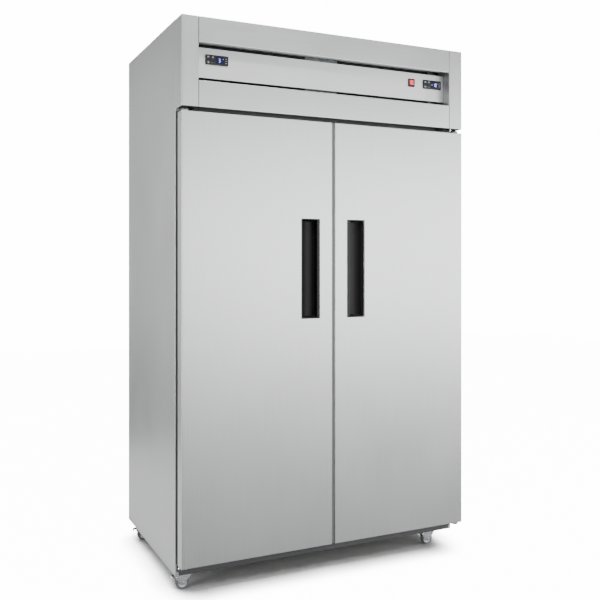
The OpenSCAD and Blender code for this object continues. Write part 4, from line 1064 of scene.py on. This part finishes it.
def makeCondensingUnit(side):
    low, high = span("condensers")
    deckTop = low[2]
    half = unitForm["halfWidth"]
    cx = low[0] + half if side == "left" else high[0] - half
    fanLow, fanHigh = span(f"condenser_fan_{side}")
    fanAt = (fanLow + fanHigh) / 2
    x0, x1 = cx - half, cx + half
    z0, z1 = high[2] - unitForm["high"], high[2]
    y0 = high[1] - unitForm["motorBack"]
    y1 = y0 + unitForm["deep"]
    fins, pipes = coilParts(x0 + 9, x1 - 9, y0 + 2, y1 - 2, z0 + 2, z1 - 2, unitForm["fins"],
                            unitForm["rows"], 3.6)
    piece(f"condenserFins_{side}", fins, finAluminium, "cabinet",
          once("condensers", side == "left"))
    piece(f"condenserTubes_{side}", pipes, copperTube, "cabinet")
    makeFilter(side, cx, fanAt[2], low[1])
    endPlates = [slab((x - 1, x + 1, z0, z1), y0, y1 + 0.5, r=0.5, edge=0.3) for x in (x0 + 5, x1 - 5)]
    rear = y1 + unitForm["shroudDepth"]
    shroud = [((x0, x1, z0, z1), 3, y1), ((x0, x1, z0, z1), 3, rear - 3)]
    shroud += [(inset((x0, x1, z0, z1), 0.9), 3, rear - 0.8), (inset((x0, x1, z0, z1), 3), 3, rear)]
    shroud += mouthStages(cx, fanAt[2], unitForm["ring"], 6, rear, rear - 22)
    piece(f"condenserShroud_{side}", [loft(shroud, 12)], galvanised, "cabinet", wall=1.0,
          core=(cx, -far, fanAt[2]))
    feet = []
    for x in (x0 + 14, x1 - 14):
        foot = eased([(y0 + 2, z0 - 0.2), (y0 + 2, deckTop + 1.2), (rear, deckTop + 1.2)], 2, 3)
        feet.append(folded(foot, 0, x - 7, x + 7))
    piece(f"condenserFeet_{side}", feet, galvanised, "cabinet", wall=1.2,
          core=(cx, far, deckTop + far))
    piece(f"condenserEnds_{side}", endPlates, galvanised, "cabinet")

    # Fan motor: a can with cooling ridges, a shaft, and a wire guard that carries it on the shroud
    m = unitForm["motor"]
    my = fanAt[1]
    ridges = [(m - 1.2 * (k % 2), my + 22 + 3.2 * k) for k in range(13)]
    can = [(0, my + 14), (22, my + 14), (30, my + 15), (m - 2, my + 18)] + ridges
    can += [(m - 2, my + 66), (m - 8, my + 70), (12, my + 72), (0, my + 72)]
    motor = turned(can, (cx, 0, fanAt[2]), 1, 40)
    shaft = turned([(0, my - 10), (3.4, my - 10), (4, my - 9), (4, my + 14), (0, my + 14)],
                   (cx, 0, fanAt[2]), 1, 16)
    piece(f"condenserMotor_{side}", [motor], shellEnamel, "cabinet")
    guard = guardParts(cx, fanAt[2], rear, unitForm["guard"])
    piece(f"condenserGuard_{side}", guard + [shaft], zincPlate, "cabinet")


compressorForm = dict(fromLeft=95, fromRight=104, shell=76, base=(95, 75), feetAt=(75, 58))


# Hermetic compressor: a turned shell with domed ends and a welded seam, on a pressed base with rubber feet
def makeCompressor(side):
    f = compressorForm
    low, high = span("compressors")
    cx = low[0] + f["fromLeft"] if side == "left" else high[0] - f["fromRight"]
    cy = (low[1] + high[1]) / 2
    z = low[2]
    dome = np.linspace(0, np.pi / 2, 9)
    lower = [(0, z + 17), (50, z + 17)] + [(62 + 14 * math.sin(t), z + 33 - 15 * math.cos(t)) for t in dome]
    seam = [(76, z + 99), (78.2, z + 100), (79, z + 102), (79, z + 106), (78.2, z + 108), (76, z + 109)]
    upper = [(f["shell"] * math.cos(t) ** 0.75, z + 146 + 41 * math.sin(t)) for t in dome[:-1]]
    upper.append((0, z + 187))
    shell = turned(lower + seam + upper, (cx, cy, 0), 2, 64)
    side0 = cx + 70
    cover = slab((cy - 28, cy + 28, z + 50, z + 116), 0, 34, r=6, edge=3, steps=3, arc=5)
    cover = (np.column_stack([side0 + 34 - cover[0][:, 1], cover[0][:, 0], cover[0][:, 2]]), cover[1])
    bail = [(side0 + dx, cy + dy, z + 83) for dx, dy in ((2, -30), (35.5, -30), (35.5, 30), (2, 30))]
    clip = tube(eased(bail, 5), 1.2, 8)
    piece(f"compressorShell_{side}", [shell], shellEnamel, "cabinet",
          once("compressors", side == "left"))
    piece(f"compressorTerminals_{side}", [cover], blackAbs, "cabinet")
    bx, by = f["base"]
    base = slab((cx - bx, cx + bx, cy - by, cy + by), 0, 4, r=14, edge=1.2, arc=6)
    base = moved(reaxed(base, "xzy"), (0, 0, z + 12))
    piece(f"compressorBase_{side}", [base, clip], galvanised, "cabinet")
    feet, bolts = [], []
    for sx in (-1, 1):
        for sy in (-1, 1):
            at = (cx + sx * f["feetAt"][0], cy + sy * f["feetAt"][1], z)
            feet.append(turned([(4, 0), (10, 0), (11, 1), (11, 4), (9, 5.4), (9, 7), (11, 8.4), (11, 11),
                                (10, 12), (4, 12), (4, 0)], at, 2, 28))
            bolts.append(hexHead((at[0], at[1], z + 17.5), 2, 10, 4))
            bolts.append(turned([(0, 0), (3, 0), (3, 24), (0, 24)], at, 2, 12))
            bolts.append(turned([(3, 16), (8, 16), (8, 17.5), (3, 17.5), (3, 16)], at, 2, 24))
    piece(f"compressorFeet_{side}", feet, nitrile, "cabinet")
    piece(f"compressorBolts_{side}", bolts, zincPlate, "cabinet")


# Copper lines: round tube along routes of square corners eased to bends, with brazed collars and a drier
def makePipework(side):
    cond = span("condensers")
    half = unitForm["halfWidth"]
    unit = cond[0][0] + half if side == "left" else cond[1][0] - half
    z = span("compressors")[0][2]
    y0 = cond[1][1] - unitForm["motorBack"]
    routes = [
        ([(-74, 90, z + 40), (-150, 90, z + 40), (-150, 210, z + 40), (-150, 210, z)], 6.0, 18),
        ([(-68, 60, z + 118), (-240, 60, z + 118), (-240, y0 + 14, z + 118), (-222, y0 + 14, z + 118)],
         4.0, 9),
        ([(-222, y0 + 30, z + 50), (-240, y0 + 30, z + 50), (-240, 30, z + 50), (-240, 30, z + 24),
          (-175, 30, z + 24), (-175, 250, z + 24), (-175, 250, z)], 4.0, 9),
    ]
    pipes = [moved(tube(eased(route, bend, 8), r, 14), (unit, 0, 0)) for route, r, bend in routes]
    collar, neck = [(0, -14), (5.4, -14), (6, -13)], [(0, -8), (5.2, -8), (5.6, -7)]
    can = [(0, -53), (4.6, -53), (5, -47), (9.4, -39), (10, -36)]
    brazed = [turned(collar + reflected(collar), (unit - 150, 150, z + 40), 1, 20),
              turned(neck + reflected(neck), (unit - 110, 60, z + 118), 0, 20)]
    drier = turned(can + reflected(can), (unit - 175, 145, z + 24), 1, 28)
    piece(f"copperLines_{side}", pipes + brazed + [drier], copperTube, "cabinet",
          once("pipework", side == "left"))


boxForm = dict(half=58, front=170, back=330, high=116, lidOver=2, lid=3, screwAt=50)


# Control box: body and lid with round edges, louvres, screws, and the ribbed gland for the supply
def makeControlBox():
    half, y0, y1 = boxForm["half"], boxForm["front"], boxForm["back"]
    z = span("electrical_box")[0][2]
    top = z + boxForm["high"]
    body = slab((-half, half, z, top), y0, y1, r=2, edge=1.2)
    lid = slab(inset((-half, half, y0, y1), -boxForm["lidOver"]), 0, boxForm["lid"], r=3, edge=1)
    lid = moved(reaxed(lid, "xzy"), (0, 0, top))
    louvres = [slab((-40, 40, z + 24 + 9 * k, z + 27 + 9 * k), y0 - 0.8, y0 + 1, r=1.4, edge=0.7)
               for k in range(8)]
    piece("controlBox", [body, lid] + louvres, powderGrey, "cabinet", ["electrical_box"])
    screws = [turned([(0, 0), (4, 0), (3.4, 1.2), (1.5, 1.9), (0, 2)], (x, y, top + boxForm["lid"]), 2, 20)
              for x in (-boxForm["screwAt"], boxForm["screwAt"]) for y in (y0 + 10, y1 - 10)]
    piece("controlBoxScrews", screws, zincPlate, "cabinet")
    axis = (0, 0, z + 60)
    nut = turned([(0, 330), (15, 330), (15, 337), (14, 338), (0, 338)], axis, 1, 6)
    ribs = [(12 - 0.8 * (k % 2), 338 + k * 1.2) for k in range(10)]
    gland = turned([(5, 338)] + ribs + [(9, 350), (5, 350), (5, 338)], axis, 1, 36)
    piece("supplyGland", [nut, gland], blackAbs, "cabinet")


for side in sides:
    makeCondensingUnit(side)
    makeCompressor(side)
    makePipework(side)
    makeFan(f"condenser_fan_{side}", f"condenser_blades_{side}", 22, 4.06, 5, 62, 24, f"condenserFan_{side}")
makeControlBox()
print("machine compartment made")


evaporatorForm = dict(
    width=420, corner=10, mouth=78, fins=70,
    guard=dict(rings=(20, 33, 46, 59, 72), steps=48, wire=1.0, stand=2.4, spokes=6, first=0, reach=(18, 80),
               spokeWire=1.1, spokeStand=4.0, around=6),
)


# Evaporator: a moulded cover with a round mouth and a wire guard, the coil and the motor behind it
def makeEvaporator(side):
    f = evaporatorForm
    low, high = span("evaporator_housings")
    cx = low[0] + f["width"] / 2 if side == "left" else high[0] - f["width"] / 2
    fanLow, fanHigh = span(f"evaporator_fan_{side}")
    fz = (fanLow[2] + fanHigh[2]) / 2
    outline = (cx - f["width"] / 2, cx + f["width"] / 2, low[2], high[2])
    r = f["corner"]
    stages = [(outline, r, high[1])] + foldStages(outline, r, low[1] + 0.2, 6, 4)
    stages += mouthStages(cx, fz, f["mouth"], 3.6, low[1] + 0.2, low[1] + 14)
    piece(f"evaporatorCover_{side}", [loft(stages, 12)], whiteAbs, "cabinet",
          once("evaporator_housings", side == "left"), wall=1.6, core=(cx, far, fz))
    guard = guardParts(cx, fz, low[1], f["guard"])
    piece(f"evaporatorGuard_{side}", guard, epoxyWire, "cabinet")
    fins, pipes = coilParts(outline[0] + 26, outline[1] - 26, low[1] + 76, high[1] - 12, low[2] + 20,
                            high[2] - 20, f["fins"], 5, 3.6)
    piece(f"evaporatorFins_{side}", fins, finAluminium, "cabinet")
    piece(f"evaporatorTubes_{side}", pipes, copperTube, "cabinet")
    my = low[1]
    motor = turned([(0, my + 34), (20, my + 34), (24, my + 37), (24, my + 66), (21, my + 70), (0, my + 70)],
                   (cx, 0, fz), 1, 36)
    shaft = turned([(0, my + 16), (3.5, my + 16), (4, my + 17), (4, my + 34), (0, my + 34)],
                   (cx, 0, fz), 1, 16)
    piece(f"evaporatorMotor_{side}", [motor, shaft], shellEnamel, "cabinet")


shelfForm = dict(width=471, high=8, count=3, wirePitch=20, wire=1.7, border=3.0, corner=14)


# Wire shelf: a round border rod, cross rods and wires over them whose ends are bent down onto the border
def makeShelf(side, level, z):
    f = shelfForm
    low, high = span("wire_shelves")
    x0 = low[0] if side == "left" else high[0] - f["width"]
    x1 = x0 + f["width"]
    b = f["border"]
    outline = ring(inset((x0, x1, low[1], high[1]), b), f["corner"], 6)
    border = tube(np.column_stack([outline, np.full(len(outline), z + b)]), b, 10, True)
    middle = (low[1] + high[1]) / 2
    rods = [tube([(x0 + b, y, z + b), (x1 - b, y, z + b)], 2.6, 8) for y in (middle - 100, middle + 100)]
    count = int((f["width"] - 20) / f["wirePitch"]) + 1
    first = (x0 + x1) / 2 - (count - 1) * f["wirePitch"] / 2
    top = z + f["high"] - f["wire"]
    wires = []
    for k in range(count):
        x = first + k * f["wirePitch"]
        line = eased([(x, low[1] + 1.8, z + b), (x, low[1] + 1.8, top), (x, high[1] - 1.8, top),
                      (x, high[1] - 1.8, z + b)], 1.6, 3)
        wires.append(tube(line, f["wire"], 7))
    piece(f"wireShelf_{side}_{level}", [border] + rods + wires, epoxyWire, "cabinet",
          once("wire_shelves", side == "left" and level == 0))


uprightForm = dict(pitch=25, slotWide=5, slotHigh=13, stand=5, half=12)


# Slotted upright: a channel whose web is a column of cells, each a ring from its slot out to its edge
def uprightParts(x, way, y, z0, z1):
    f = uprightForm
    count = int((z1 - z0) / f["pitch"])
    start = z0 + ((z1 - z0) - count * f["pitch"]) / 2
    face = x + way * (f["stand"] - 0.6)
    parts = []
    for k in range(count):
        zc = start + (k + 0.5) * f["pitch"]
        cell = (y - f["half"], y + f["half"], zc - f["pitch"] / 2, zc + f["pitch"] / 2)
        slot = (y - f["slotWide"] / 2, y + f["slotWide"] / 2, zc - f["slotHigh"] / 2, zc + f["slotHigh"] / 2)
        web = loft([(cell, 0.01, 0), (slot, 2, 0)], 3)
        parts.append((np.column_stack([np.full(len(web[0]), face), web[0][:, 0], web[0][:, 2]]), web[1]))
    for edge in (-f["half"], f["half"]):
        flange = [(x, y + edge), (face, y + edge)]
        parts.append(folded(flange, 2, start, start + count * f["pitch"]))
    return parts


def makeShelfSupports(levels):
    low, high = span("shelf_supports")
    clips = []
    for side in sides:
        mullion = shellForm["mullionHalf"]
        inner, outer = (-mullion, low[0]) if side == "left" else (mullion, high[0])
        for x in (inner, outer):
            way = 1 if (x < 0) == (abs(x) > 100) else -1
            uprights = []
            for y in (low[1] + 12, high[1] - 12):
                uprights += uprightParts(x, way, y, low[2], high[2])
                for z in levels:
                    hook = [(4, -14.5), (5.8, -14.5), (5.8, -0.9), (19, -0.9), (19, -0.2)]
                    hook = eased([(x + way * out, z + up) for out, up in hook], 0.8, 2)
                    clips.append(folded(hook, 1, y - 9, y + 9))
            label = "Inner" if x == inner else "Outer"
            piece(f"upright{label}_{side}", uprights, zincPlate, "cabinet",
                  once("shelf_supports", side == "left" and x == inner), wall=0.8,
                  core=(x - way * far, 0, midHeight))
    piece("shelfClips", clips, zincPlate, "cabinet", wall=0.7, core=(0, 0, -far))


shelfLow, shelfHigh = span("wire_shelves")
shelfStep = (shelfHigh[2] - shelfLow[2] - shelfForm["high"]) / (shelfForm["count"] - 1)
shelfLevels = [shelfLow[2] + shelfStep * k for k in range(shelfForm["count"])]
for side in sides:
    makeEvaporator(side)
    makeFan(f"evaporator_fan_{side}", f"evaporator_blades_{side}", 17, 4.06, 5, 44, 22,
            f"evaporatorFan_{side}")
    for level, z in enumerate(shelfLevels):
        makeShelf(side, level, z)
makeShelfSupports(shelfLevels)
print("sections fitted out")
